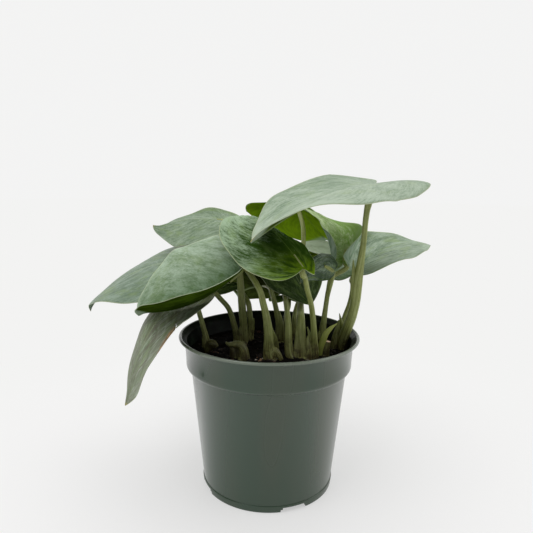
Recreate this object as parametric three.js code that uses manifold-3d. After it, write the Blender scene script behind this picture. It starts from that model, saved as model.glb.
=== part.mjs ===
// A potted platinum java scindapsus: heart-shaped silvery leaves on fleshy stalks, in a green nursery pot.
// Millimetres, +Z up. The origin is the middle of the pot's underside, on the floor.
// +X is the viewer's right and -Y is towards the viewer.
import * as THREE from "three";
import { mergeVertices } from "three/addons/utils/BufferGeometryUtils.js";
import Module from "manifold-3d";

const wasm = await Module();
wasm.setup();

// Driving sizes of the pot
const POT_HEIGHT = 93.3;
const LIP_RADIUS = 54;
const BASE_RADIUS = 39.6;
const SHOULDER_HEIGHT = 73;
const SHOULDER_RADIUS = 46.6;
const BAND_RADIUS = 50;
const WALL = 1.2;
const FLOOR_THICKNESS = 1.6;
const POT_SEGMENTS = 48;
const SLOT = { count: 4, firstAngle: -67, width: 16, height: 3, reach: 9 };

// Driving sizes of the soil, and of the hole in it that each stem stands in
const SOIL_LEVEL = 82;
const SOIL_GAP = 0.3;
const SOIL_MOUND = 1;
const SOIL_BUMP = 0.7;
const SOIL_RINGS = [0.96, 0.78, 0.6, 0.4, 0.2];
const HOLE_FLOOR = 76;
const HOLE_TOP = 95;
const HOLE_CLEARANCE = 0.35;
const HOLE_SIDES = 16;

// Driving sizes of every leaf
const BLADE_THICKNESS = 0.8;
const BLADE_ROWS = [0, 0.08, 0.15, 0.23, 0.32, 0.42, 0.52, 0.62, 0.72, 0.82, 0.91, 1];
const BLADE_COLUMNS = 4;
const LOBE_END = 0.36;
const RIB_START = 0.15;
const RIB_DRAW = 1.5;
const SIDE_DRAW = 1.25;
const DRIP_START = 0.76;
const HOOK_START = 0.85;
const MARGIN_WAVE = 0.7;
const MARGIN_WAVES = 9;
const BELLY = Array.from({ length: 17 }, (_, i) => 0.36 + 0.01 * i);

// Driving sizes of the stems. A stalk's top is steps of [along the midrib, below it, radius].
const SEAT_GAP = 0.3;
const CROWN_TOP = 84;
const STALK_SIDES = 7;
const BRACT_SIDES = 6;
const CROWN_SIDES = 9;
const BEHIND_BASE = [[-2.5, 3, 1.55]];
const UNDER_RIB = [[1, 1.5, 1.5], [5, 0.9, 1.1], [9, 0.7, 0.7]];
const SCRAP = 5;

// Colours of the pieces, each with its roughness
const PAINT = {
  pot: { color: 0x3f5145, roughness: 0.35 },
  soil: { color: 0x2a2019, roughness: 0.95 },
  stem: { color: 0x727d48, roughness: 0.55 },
  leaf: { color: 0x93ab97, roughness: 0.5 },
};

const DEGREE = Math.PI / 180;

// What a blade has where it states nothing else
const USUAL_BLADE = { sweep: 0, roll: 0, twist: 0, hook: 0, furl: 0, taper: 3.5, spread: 1.35, drip: 0 };

// Leaf blades, in mm and degrees. base is where the stalk joins. heading is the compass of the midrib from +X
// towards +Y and pitch is its slope at the base and at the tip; sweep, twist and hook bend it on its way. Each
// half has a fold, its angle at the midrib, and a curl, the further angle that it gains by the margin. furl
// tightens the curl towards the base of a leaf that hasn't opened yet. A low taper draws the tip out long, drip
// narrows it further, and a high spread moves the widest place towards the tip.
const BLADES = {
  leaf_top: {
    base: [54.3, -11.5, 182], heading: 218.5, pitch: [-5, -29.5], sweep: 5, roll: -4, twist: 28.5, hook: 5.5,
    length: 88.5, width: 76.5, left: [19.5, -58], right: [-9.5, 35], lobe: 28.5, taper: 4, spread: 1.24,
  },
  leaf_front: {
    base: [16.9, -44.5, 140.6], heading: 139, pitch: [46, -24], sweep: -58, roll: -7, twist: 13, hook: -22.5,
    length: 87.5, width: 58.5, left: [12, -53], right: [-30.5, 1], lobe: 4.2, furl: 0.7, taper: 3.8, spread: 1.32,
  },
  leaf_left_near: {
    base: [-16.8, -14, 133.7], heading: 189, pitch: [-46, -1], sweep: -32, roll: -55, twist: 13, hook: -45,
    length: 70, width: 73, left: [63.5, 4], right: [67, -73], lobe: 12.4, furl: 0.6, taper: 4.2, spread: 1.2,
  },
  leaf_left_far: {
    base: [-40, 17, 135], heading: 167, pitch: [0, -48], sweep: -2, roll: -29, twist: 16, hook: -41,
    length: 97, width: 75, left: [7, -28], right: [0, -25], lobe: 14, drip: 0.45,
  },
  leaf_back_left: {
    base: [-26.3, 13.7, 159.2], heading: 141.6, pitch: [5, -21], sweep: 7, roll: -17, twist: -31, hook: 40,
    length: 67, width: 47, left: [-8, -20], right: [-46, 69], lobe: 13, furl: -0.2, taper: 3, spread: 1.2,
  },
  leaf_hanging: {
    base: [-47.8, -0.7, 119], heading: 212, pitch: [-28, -86], sweep: 13, roll: -27, twist: 37, hook: 20,
    length: 78, width: 60, left: [-7, 57], right: [-13, -36], lobe: 10, taper: 5.1,
  },
  leaf_right: {
    base: [52.1, 18.5, 126.4], heading: 45, pitch: [28, -10.5], sweep: -8, roll: 5.5, twist: 38, hook: -20,
    length: 86.7, width: 53, left: [-41, 88], right: [36, -29], lobe: 9, furl: 0.2, taper: 2.1, spread: 1.1,
  },
  leaf_back: {
    base: [17.1, 54, 170.1], heading: 78, pitch: [-17, -32], sweep: -20, roll: -19, twist: -12, hook: 8,
    length: 86.5, width: 87.5, left: [-1, 47], right: [-50, -19], lobe: 13.8, furl: -0.3, taper: 4.3,
  },
  leaf_inner_front: {
    base: [8.4, 23.9, 139.4], heading: 297, pitch: [-37, -45], sweep: 4, roll: -21, twist: 33, hook: 16,
    length: 43, width: 45, left: [-13, 38], right: [2, -57], lobe: 9, furl: 0.3, taper: 4.1, spread: 1.7,
  },
  leaf_inner_low: {
    base: [0, 33, 116], heading: 121, pitch: [-12, -25], sweep: -25, roll: 25, twist: 10,
    length: 84, width: 56, left: [10, 14], right: [10, 14], lobe: 12,
  },
  leaf_small: {
    base: [37.7, -3.4, 132.7], heading: 223, pitch: [23.5, -54], sweep: -36, roll: -59.5, twist: -10, hook: -1,
    length: 26, width: 19.1, left: [-43, -24], right: [29, -36.5], lobe: 3.1, furl: 0.6, taper: 2.6, spread: 1.5,
  },
  leaf_inner_back: {
    base: [41.7, 54.9, 129.3], heading: 180, pitch: [-4, -5], sweep: 24, roll: -14, twist: 39, hook: 17,
    length: 63, width: 35, left: [59, -42.5], right: [33.5, 25], lobe: 8.7, furl: 0.1, taper: 3.7, spread: 1.4,
  },
  leaf_curled: {
    base: [43.6, 4.8, 135.7], heading: 72, pitch: [61, 10], sweep: 103, roll: -38, twist: 60, hook: -7,
    length: 55, width: 33, left: [-39, 84], right: [-25, 45], lobe: 5.2, furl: 2.4, taper: 2, spread: 1.6,
  },
  leaf_low_left: {
    base: [-24.5, 33, 116.5], heading: 188, pitch: [0, -20], hook: -4,
    length: 45, width: 32, left: [-5, -16], right: [-5, -16], lobe: 6,
  },
  leaf_low_back: {
    base: [13, 40, 104.5], heading: 86, pitch: [0, -20],
    length: 46, width: 30, left: [-5, -12], right: [-5, -12], lobe: 6,
  },
};
Object.entries(BLADES).forEach(([name, blade]) => {
  BLADES[name] = { ...USUAL_BLADE, ...blade };
});

// Stems, in mm. root is where one stands in the soil and girth its radius there. A stalk or bract is a route of
// [x, y, z, radius]. Each stalk runs on into the blade that it names, from behind its base or, if tucked, from
// under it.
const STEMS = {
  stem_left: {
    root: [-37.3, -1.5], girth: 3.2,
    stalks: [
      {
        blade: "leaf_hanging",
        route: [
          [-37.2, -1.5, 83, 2.9], [-38.1, -1.5, 90, 1.9], [-39.9, -1.5, 97, 1.6],
          [-42.2, -1.5, 105.7, 1.5], [-44, -1.2, 111, 1.45],
        ],
      },
    ],
    bracts: [
      {
        route: [
          [-37, -2.4, 82, 2.9], [-35.4, -3, 86.2, 2.7], [-33.4, -3.4, 86.6, 2.3],
          [-31.6, -3.6, 84.6, 1.6],
        ],
      },
      { route: [[-38, -2.8, 84, 2.4], [-38.8, -2.8, 89, 1.7], [-39.2, -2.7, 93, 0.5]], flat: 0.6 },
    ],
  },
  stem_stub: {
    root: [-15.5, -17.5], girth: 4,
    bracts: [
      {
        route: [
          [-14, -18, 81, 3.4], [-14.2, -18, 86, 3], [-15.4, -18, 89.6, 2.7], [-18, -18, 91.2, 2.3],
          [-21, -18.2, 91.2, 1.7], [-23.4, -18.2, 91.4, 1.1], [-24.7, -18.2, 92.6, 0.5],
        ],
      },
      {
        route: [
          [-19.4, -17, 81, 3], [-20, -17, 85.4, 2.7], [-20.8, -17.4, 88.6, 1.9],
          [-22, -17.6, 90.4, 0.9],
        ],
      },
      { route: [[-16.8, -15.6, 81, 3.2], [-17.4, -15.6, 86, 2.8], [-18.4, -16, 89, 1.6]] },
    ],
  },
  stem_left_back: {
    root: [-17, 13.5], girth: 5,
    stalks: [
      {
        blade: "leaf_left_far",
        route: [
          [-20, 13, 81, 2.9], [-20.6, 13, 87.3, 2.2], [-22.2, 13, 94.2, 1.8],
          [-24.1, 13, 100.9, 1.65], [-26.5, 12, 106.2, 1.6], [-31, 13, 110.9, 1.6],
          [-35.6, 13.6, 116.5, 1.6], [-37.4, 15, 124.5, 1.6],
        ],
      },
      {
        blade: "leaf_back_left",
        route: [
          [-16.4, 14, 80, 4], [-16.2, 14, 86, 3.2], [-16.2, 14, 92.9, 2.6],
          [-16.9, 14, 101.4, 2.45], [-17.6, 14, 110.4, 2.35], [-18.4, 14.6, 122, 2.1],
          [-20, 15.4, 138, 1.7], [-22, 16, 148, 1.6],
        ],
      },
      {
        blade: "leaf_low_left",
        route: [
          [-12.8, 15, 81, 2.9], [-12.1, 15.2, 87, 2.2], [-11.6, 15.6, 92, 1.9],
          [-12.3, 16, 99.6, 1.75], [-13.5, 16.5, 107.3, 1.7], [-17, 23, 111.4, 1.5],
        ],
      },
    ],
    bracts: [
      {
        route: [
          [-12, 14.6, 84, 2], [-11, 14.4, 90, 1.6], [-10.2, 14.4, 94.5, 0.9], [-9.8, 14.4, 98, 0.3],
        ],
        flat: 0.6,
      },
      { route: [[-18.6, 12.4, 82, 2.6], [-18.4, 12, 88, 2], [-18, 12.2, 93, 0.5]], flat: 0.6 },
    ],
  },
  stem_front: {
    root: [1.2, -16.8], girth: 4.6,
    stalks: [
      {
        blade: "leaf_left_near",
        route: [
          [0.6, -17, 79, 4.2], [0.2, -17, 86, 3.6], [-0.1, -17, 91, 3.1], [-0.4, -17, 98, 2.6],
          [-1.7, -17, 107.4, 2.2], [-3.7, -18, 115.8, 1.9], [-6.2, -19, 124.6, 1.7],
        ],
      },
    ],
    bracts: [
      {
        route: [
          [1.2, -17.8, 84, 3], [3, -18, 87.6, 2.5], [5, -18.2, 86, 2], [7.2, -18.3, 82.4, 1.4],
        ],
        flat: 0.7,
      },
      {
        route: [
          [3, -14.4, 81, 2.6], [4, -14, 87.5, 2], [3.4, -14.2, 93.5, 1.5], [2, -14.8, 98, 0.9],
          [1, -15, 102, 0.3],
        ],
        flat: 0.55,
      },
      { route: [[-0.6, -18.6, 88, 2.5], [-0.4, -18.6, 95, 1.9], [-1, -18.3, 100.5, 0.4]], flat: 0.5 },
    ],
  },
  stem_back: {
    root: [7.6, 15], girth: 5,
    stalks: [
      {
        blade: "leaf_inner_low",
        route: [
          [5.8, 15, 80, 3], [6, 15, 87, 2.3], [5.9, 15, 94.3, 1.9], [4.7, 15.4, 101.3, 1.7],
          [3.4, 16, 107, 1.6], [1.6, 22, 111.6, 1.6],
        ],
      },
      {
        blade: "leaf_low_back",
        route: [
          [9.6, 17, 80, 2.8], [10.4, 20, 92, 1.8], [11.4, 25.6, 99.4, 1.65], [12.4, 33, 101, 1.65],
        ],
      },
      {
        blade: "leaf_inner_back",
        route: [
          [10.4, 13.8, 80, 2.6], [13.6, 12.6, 86.5, 2.2], [15.4, 12, 93.4, 1.6], [16, 13, 102, 1.5],
          [20, 22, 110, 1.5], [30, 38, 119, 1.5], [37, 49, 125, 1.5],
        ],
      },
    ],
    bracts: [
      {
        route: [
          [7.4, 14, 84, 2.4], [7.6, 13.8, 92, 1.8], [6.8, 14, 99, 1.1], [6, 14.4, 103, 0.3],
        ],
        flat: 0.6,
      },
    ],
  },
  stem_front_right: {
    root: [19.6, -14.5], girth: 5.4,
    stalks: [
      {
        blade: "leaf_inner_front",
        route: [
          [15.6, -14.8, 79, 3.4], [12.2, -15, 84.5, 2.8], [11.3, -15, 90, 2.4],
          [11.1, -15, 96, 2.1], [10.9, -14, 103, 1.85], [10.4, -10, 108, 1.6], [9.4, 0, 114, 1.5],
          [7.8, 12, 121.5, 1.5], [6.2, 23, 130.5, 1.5],
        ],
      },
      {
        blade: "leaf_back",
        route: [
          [19.6, -14.6, 79, 4], [19.2, -14, 88, 3.1], [18.7, -12.6, 96, 2.6],
          [18.4, -9, 104.9, 2.25], [18.6, -1, 108, 2.05], [19.2, 12, 114, 1.8],
          [20.2, 24, 121.5, 1.6], [21.2, 33.5, 131, 1.5], [21.8, 38, 143, 1.5],
          [21.4, 42, 154, 1.5], [19, 48, 163, 1.5],
        ],
      },
      {
        blade: "leaf_front",
        route: [
          [25.6, -13.6, 79.5, 3], [26.6, -13.7, 86, 2.4], [26.1, -14, 93, 2],
          [25.4, -15.5, 101.5, 1.75], [24.4, -18, 109.2, 1.6], [22.9, -22, 117.2, 1.5],
          [20.6, -26, 125, 1.45], [18.5, -32, 133.6, 1.4],
        ],
      },
    ],
    bracts: [
      {
        route: [
          [22.4, -15.6, 80, 2.9], [22.8, -15.6, 87, 2.2], [22.2, -15.2, 93, 1.2],
          [22.6, -15, 96.6, 0.3],
        ],
        flat: 0.7,
      },
      {
        route: [
          [16.4, -15.8, 80, 2.6], [16, -15.4, 87, 2], [16.2, -13.6, 95, 1.3],
          [16.4, -11.4, 102, 0.3],
        ],
        flat: 0.7,
      },
      {
        route: [
          [24, -14.6, 84, 2], [23.8, -14.4, 92, 1.5], [23.2, -14, 97, 0.9], [21.8, -13.6, 101, 0.3],
        ],
        flat: 0.6,
      },
    ],
  },
  stem_mid_right: {
    root: [31.6, 3.4], girth: 3.8,
    stalks: [
      {
        blade: "leaf_curled",
        route: [
          [32, 2.4, 80, 3], [32.6, 2.4, 88, 2.3], [32.8, 2.2, 96.5, 1.8], [33.3, 2, 104, 1.6],
          [34.1, 1.6, 111.8, 1.5], [35, 1.8, 119.3, 1.4], [37, 3, 127, 1.4],
        ],
      },
      {
        blade: "leaf_small",
        route: [
          [30.6, 4.4, 80, 2.4], [31.6, 3.6, 92, 1.6], [33.2, 2.8, 104, 1.3], [34.2, 2, 112, 1.2],
          [35, -1, 119, 1.2], [36.2, -2.4, 125, 1.2],
        ],
      },
    ],
    bracts: [
      {
        route: [
          [30.4, 1.4, 82, 2], [30.6, 0.8, 88, 1.4], [30.2, 0.6, 92, 1], [30.4, 0.6, 94.4, 0.5],
        ],
        flat: 0.6,
      },
    ],
  },
  cut_stub: {
    root: [32.6, -9.6], girth: 3,
    bracts: [
      {
        route: [
          [32.8, -9.5, 80, 2.7], [33.4, -9.4, 86, 2.45], [33.8, -9.3, 89.4, 2.3],
          [34, -9.2, 91.2, 2.2],
        ],
      },
      {
        route: [
          [29.6, -10.8, 80.5, 1.9], [30.1, -10.8, 86, 1.8], [31.1, -10.8, 90.6, 2],
          [32.9, -10.6, 95.8, 1.8], [36, -10, 99.4, 1.2], [39.6, -9.4, 102.1, 0.2],
        ],
        flat: 0.45,
      },
    ],
  },
  stem_right: {
    root: [41.4, 7], girth: 3.4,
    stalks: [
      {
        blade: "leaf_top",
        tucked: true,
        route: [
          [43.9, 6.5, 79.5, 3.6], [44.7, 5, 86, 3.4], [45.8, 3, 91.5, 3.2], [47.6, 0, 98.6, 3.05],
          [49.3, -2, 105.4, 2.95], [50.4, -3.4, 112.4, 2.9], [50.9, -4.4, 119.7, 2.9],
          [51.3, -5.4, 127.6, 2.8], [51.8, -6.4, 134.2, 2.45], [52.4, -7.4, 141.3, 2.05],
          [52.9, -8.2, 147.1, 1.75], [53.2, -9.4, 154.8, 1.6], [53.2, -10.6, 161.2, 1.6],
          [53.6, -11.8, 168, 1.75], [54.2, -13, 174, 2.1],
        ],
      },
      {
        blade: "leaf_right",
        route: [
          [43.6, 10, 80, 2.4], [44.3, 10, 87.3, 1.9], [45.2, 10, 95, 1.6], [46.9, 11, 101.2, 1.45],
          [49.2, 11, 108.3, 1.4], [50.5, 11, 115.1, 1.3], [51, 12, 121, 1.3],
        ],
      },
    ],
    bracts: [
      {
        route: [
          [40, 6.2, 79, 3], [40.8, 6, 85.3, 2.8], [41.5, 6, 91, 2.2], [42.2, 6, 96.1, 1.2],
          [42.6, 6, 100, 0.4],
        ],
      },
      {
        route: [
          [45.2, 5.6, 83.9, 2.4], [45.6, 5.8, 90.2, 2.2], [44.8, 6, 96, 1.5], [43.6, 6, 100.6, 0.8],
          [42.8, 6, 104.2, 0.2],
        ],
        flat: 0.6,
      },
      {
        route: [
          [49.6, -4.6, 116, 2.1], [48.9, -5.4, 124.3, 1.8], [48.7, -6, 130.4, 1.3],
          [48.2, -6.6, 135.2, 0.8], [47.8, -7.2, 139.6, 0.2],
        ],
        flat: 0.6,
      },
    ],
  },
};

// How a value climbs from 0 at the edge to 1 at 1
function ramp(edge, value) {
  return Math.max(0, (value - edge) / (1 - edge));
}

// A closed mesh from points and triangles, with doubled points merged and empty triangles dropped
function closedMesh(points, triangles) {
  const geometry = new THREE.BufferGeometry().setFromPoints(points);
  geometry.setIndex(triangles);
  return weld(geometry);
}

function weld(geometry) {
  const bare = new THREE.BufferGeometry();
  bare.setAttribute("position", geometry.getAttribute("position"));
  bare.setIndex(geometry.getIndex());
  const merged = mergeVertices(bare, 1e-4);
  const index = merged.getIndex().array;
  const kept = [];
  for (let i = 0; i < index.length; i += 3) {
    const [a, b, c] = [index[i], index[i + 1], index[i + 2]];
    if (a !== b && b !== c && c !== a) kept.push(a, b, c);
  }
  merged.setIndex(kept);
  return merged;
}

function toSolid(geometry) {
  const merged = weld(geometry);
  return new wasm.Manifold(new wasm.Mesh({
    numProp: 3,
    vertProperties: new Float32Array(merged.getAttribute("position").array),
    triVerts: new Uint32Array(merged.getIndex().array),
  }));
}

function toGeometry(solid) {
  const mesh = solid.getMesh();
  const geometry = new THREE.BufferGeometry();
  geometry.setAttribute("position", new THREE.BufferAttribute(mesh.vertProperties, 3));
  geometry.setIndex(new THREE.BufferAttribute(mesh.triVerts, 1));
  geometry.computeVertexNormals();
  return geometry;
}

function joinAll(solids) {
  return solids.reduce((whole, piece) => whole.add(piece));
}

// Pot: a thin tapered cup with a rolled lip, a deep band under it and four drain slots round its foot
function potProfile() {
  const bandFoot = SHOULDER_HEIGHT + 6;
  const bandTop = POT_HEIGHT - 2.4;
  const outside = [
    [BASE_RADIUS - 0.6, 0],
    [BASE_RADIUS, 0.8],
    [BASE_RADIUS + 0.4, 4],
    [SHOULDER_RADIUS, SHOULDER_HEIGHT],
    [SHOULDER_RADIUS + 1.4, SHOULDER_HEIGHT + 0.6],
    [BAND_RADIUS - 0.8, SHOULDER_HEIGHT + 2.2],
    [BAND_RADIUS - 0.3, bandFoot],
    [BAND_RADIUS + 0.5, bandTop],
    [LIP_RADIUS - 0.5, bandTop + 0.3],
    [LIP_RADIUS, POT_HEIGHT - 1],
    [LIP_RADIUS - 0.7, POT_HEIGHT],
  ];
  const inside = [
    [BAND_RADIUS + 0.6, POT_HEIGHT - 0.4],
    [BAND_RADIUS + 0.4 - WALL, bandTop - 0.6],
    [BAND_RADIUS - 0.4 - WALL, bandFoot],
    [BAND_RADIUS - 1.3 - WALL, SHOULDER_HEIGHT + 3.4],
    [SHOULDER_RADIUS - WALL, SHOULDER_HEIGHT + 0.6],
    [BASE_RADIUS + 0.2 - WALL, FLOOR_THICKNESS],
  ];
  return [[0, 0], ...outside, ...inside, [0, FLOOR_THICKNESS]];
}

function potGeometry() {
  const profile = potProfile().map(([radius, height]) => new THREE.Vector2(radius, height));
  const cup = new THREE.LatheGeometry(profile, POT_SEGMENTS);
  cup.rotateX(Math.PI / 2);
  let pot = toSolid(cup);
  for (let i = 0; i < SLOT.count; i += 1) {
    const slot = new THREE.BoxGeometry(SLOT.reach * 2, SLOT.width, SLOT.height * 2);
    slot.translate(BASE_RADIUS, 0, 0);
    slot.rotateZ((SLOT.firstAngle + i * 360 / SLOT.count - 90) * DEGREE);
    pot = pot.subtract(toSolid(slot));
  }
  return toGeometry(pot);
}

// Soil: the filling of the pot, with a lumpy mounded top and a plain hole for each stem
function soilHeight(x, y) {
  const reach = Math.hypot(x, y) / BAND_RADIUS;
  const lumps = Math.sin(0.31 * x + 1.7) * Math.cos(0.27 * y - 0.4) + 0.7 * Math.sin(0.53 * y + 0.19 * x + 2.1);
  return SOIL_LEVEL + SOIL_MOUND * (1 - reach * reach) + SOIL_BUMP * lumps * (1 - reach ** 6);
}

// The whole filling without its holes, with its top raised by the lift
function soilBlock(lift = 0) {
  const side = [
    [BASE_RADIUS + 0.2 - WALL - SOIL_GAP, FLOOR_THICKNESS + SOIL_GAP],
    [SHOULDER_RADIUS - WALL - SOIL_GAP, SHOULDER_HEIGHT + 0.6],
    [BAND_RADIUS - 1.3 - WALL - SOIL_GAP, SHOULDER_HEIGHT + 3.4],
    [BAND_RADIUS - 0.4 - WALL - SOIL_GAP, SHOULDER_HEIGHT + 6],
  ];
  const rim = side.at(-1)[0];
  const points = [new THREE.Vector3(0, 0, side[0][1])];
  const addRing = (radius, heightAt) => {
    for (let k = 0; k < POT_SEGMENTS; k += 1) {
      const angle = k * 2 * Math.PI / POT_SEGMENTS;
      const [x, y] = [radius * Math.sin(angle), radius * Math.cos(angle)];
      points.push(new THREE.Vector3(x, y, heightAt(x, y)));
    }
  };
  side.forEach(([radius, height]) => addRing(radius, () => height));
  SOIL_RINGS.forEach((share) => addRing(rim * share, (x, y) => soilHeight(x, y) + lift));
  points.push(new THREE.Vector3(0, 0, soilHeight(0, 0) + lift));
  const rings = side.length + SOIL_RINGS.length;
  const at = (ring, k) => 1 + ring * POT_SEGMENTS + k % POT_SEGMENTS;
  const triangles = [];
  for (let k = 0; k < POT_SEGMENTS; k += 1) {
    triangles.push(0, at(0, k), at(0, k + 1));
    for (let ring = 0; ring < rings - 1; ring += 1) {
      triangles.push(at(ring, k), at(ring + 1, k), at(ring + 1, k + 1));
      triangles.push(at(ring, k), at(ring + 1, k + 1), at(ring, k + 1));
    }
    triangles.push(at(rings - 1, k), points.length - 1, at(rings - 1, k + 1));
  }
  return toSolid(closedMesh(points, triangles));
}

// The plain round hole of a stem, wider than its root by the clearance
function stemHole({ root: [x, y], girth }, clearance) {
  const radius = girth + clearance;
  const hole = new THREE.CylinderGeometry(radius, radius, HOLE_TOP - HOLE_FLOOR, HOLE_SIDES);
  hole.rotateX(Math.PI / 2);
  hole.translate(x, y, (HOLE_TOP + HOLE_FLOOR) / 2);
  return toSolid(hole);
}

function soilGeometry(stems) {
  const holes = joinAll(stems.map((stem) => stemHole(stem, HOLE_CLEARANCE)));
  return toGeometry(soilBlock().subtract(holes));
}

// How far out a blade's outline stands at t, before it is scaled to the blade's width
function fullness({ taper, drip }, t) {
  return Math.sin(Math.PI * t) * (1 - t ** taper) * (1 - drip * THREE.MathUtils.smoothstep(t, DRIP_START, 1));
}

// The outline of half a blade at t, from the notch at 0 to the tip at 1, as [along the midrib, out from it]
function bladeOutline(blade, t) {
  const along = blade.length * ((1 - Math.cos(Math.PI * t)) / 2) ** blade.spread
    - blade.lobe * Math.sin(Math.PI * Math.min(t / LOBE_END, 1));
  const widest = Math.max(...BELLY.map((u) => fullness(blade, u)));
  return [along, blade.width / 2 * fullness(blade, t) / widest];
}

// The midrib as a chain of frames, each with its place and its forward, left and up directions
function midribFrames(blade, steps = 40) {
  const frames = [];
  const place = new THREE.Vector3(...blade.base);
  for (let i = 0; i <= steps; i += 1) {
    const u = i / steps;
    const pitch = THREE.MathUtils.lerp(blade.pitch[0], blade.pitch[1], u) + blade.hook * ramp(HOOK_START, u) ** 2;
    const heading = blade.heading + blade.sweep * u;
    const level = Math.cos(pitch * DEGREE);
    const forward = new THREE.Vector3(
      level * Math.cos(heading * DEGREE), level * Math.sin(heading * DEGREE), Math.sin(pitch * DEGREE),
    );
    const left = new THREE.Vector3(-Math.sin(heading * DEGREE), Math.cos(heading * DEGREE), 0);
    left.applyAxisAngle(forward, (blade.roll + blade.twist * u) * DEGREE);
    const up = forward.clone().cross(left);
    if (i > 0) place.addScaledVector(forward.clone().add(frames[i - 1].forward), blade.length / steps / 2);
    frames.push({ place: place.clone(), forward, left, up });
  }
  return frames;
}

function frameAt(frames, length, along) {
  const position = THREE.MathUtils.clamp(along / length, 0, 1) * (frames.length - 1);
  const i = Math.min(Math.floor(position), frames.length - 2);
  const mix = (name) => frames[i][name].clone().lerp(frames[i + 1][name], position - i);
  const frame = { place: mix("place"), forward: mix("forward"), left: mix("left"), up: mix("up") };
  frame.place.addScaledVector(frame.forward, Math.min(along, 0));
  return frame;
}

// A point of the blade's middle surface, on its left for side 1 and on its right for side -1
function bladePoint(blade, frames, side, t, share) {
  const [edgeAlong, out] = bladeOutline(blade, t);
  const rib = blade.length * ramp(RIB_START, t) ** RIB_DRAW;
  const along = rib + (edgeAlong - rib) * share ** SIDE_DRAW;
  const frame = frameAt(frames, blade.length, along);
  const [fold, curl] = (side > 0 ? blade.left : blade.right).map((angle) => angle * DEGREE);
  const bend = curl / (blade.width / 2) * (1 + blade.furl * (1 - ramp(0, along / blade.length)) ** 2);
  const reach = out * share;
  const wave = MARGIN_WAVE * Math.sin(MARGIN_WAVES * Math.PI * t + side) * share ** 3 * Math.sin(Math.PI * t);
  const across = bend === 0 ? reach * Math.cos(fold) : (Math.sin(fold + bend * reach) - Math.sin(fold)) / bend;
  const rise = bend === 0 ? reach * Math.sin(fold) : (Math.cos(fold) - Math.cos(fold + bend * reach)) / bend;
  return frame.place.addScaledVector(frame.left, side * across).addScaledVector(frame.up, rise + wave);
}

// The edges of a triangle list that only one triangle has, as pairs of point numbers
function openEdges(index) {
  const edges = new Map();
  for (let i = 0; i < index.length; i += 3) {
    for (let k = 0; k < 3; k += 1) {
      const [a, b] = [index[i + k], index[i + (k + 1) % 3]];
      if (edges.has(`${b},${a}`)) edges.delete(`${b},${a}`);
      else edges.set(`${a},${b}`, [a, b]);
    }
  }
  return [...edges.values()];
}

// A closed sheet from a grid of triangles, of the given thickness and grown past its edge by the margin
function thickSheet(points, triangles, thickness, margin) {
  const middle = closedMesh(points, triangles);
  middle.computeVertexNormals();
  const place = middle.getAttribute("position");
  const normal = middle.getAttribute("normal");
  const index = Array.from(middle.getIndex().array);
  const rim = openEdges(index);
  const outward = new Map();
  rim.forEach(([a, b]) => {
    const along = new THREE.Vector3().fromBufferAttribute(place, b)
      .sub(new THREE.Vector3().fromBufferAttribute(place, a));
    [a, b].forEach((v) => {
      const side = along.clone().cross(new THREE.Vector3().fromBufferAttribute(normal, v)).normalize();
      outward.set(v, (outward.get(v) ?? new THREE.Vector3()).add(side));
    });
  });
  const count = place.count;
  const faces = [1, -1].flatMap((face) => Array.from({ length: count }, (_, v) => {
    const point = new THREE.Vector3().fromBufferAttribute(place, v);
    if (outward.has(v)) point.addScaledVector(outward.get(v).clone().normalize(), margin);
    return point.addScaledVector(new THREE.Vector3().fromBufferAttribute(normal, v), face * thickness / 2);
  }));
  const skin = [];
  for (let i = 0; i < index.length; i += 3) {
    const [a, b, c] = [index[i], index[i + 1], index[i + 2]];
    skin.push(a, b, c, a + count, c + count, b + count);
  }
  rim.forEach(([a, b]) => skin.push(a, a + count, b + count, a, b + count, b));
  return closedMesh(faces, skin);
}

function bladeSheet(blade, thickness, margin = 0) {
  const frames = midribFrames(blade);
  const points = [];
  const triangles = [];
  [1, -1].forEach((side) => {
    const start = points.length;
    BLADE_ROWS.forEach((t) => {
      for (let k = 0; k <= BLADE_COLUMNS; k += 1) {
        points.push(bladePoint(blade, frames, side, t, k / BLADE_COLUMNS));
      }
    });
    const at = (row, k) => start + row * (BLADE_COLUMNS + 1) + k;
    for (let row = 0; row < BLADE_ROWS.length - 1; row += 1) {
      for (let k = 0; k < BLADE_COLUMNS; k += 1) {
        const [a, b, c, d] = [at(row, k), at(row, k + 1), at(row + 1, k + 1), at(row + 1, k)];
        if (side > 0) triangles.push(a, d, c, a, c, b);
        else triangles.push(a, c, d, a, b, c);
      }
    }
  });
  return thickSheet(points, triangles, thickness, margin);
}

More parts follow.
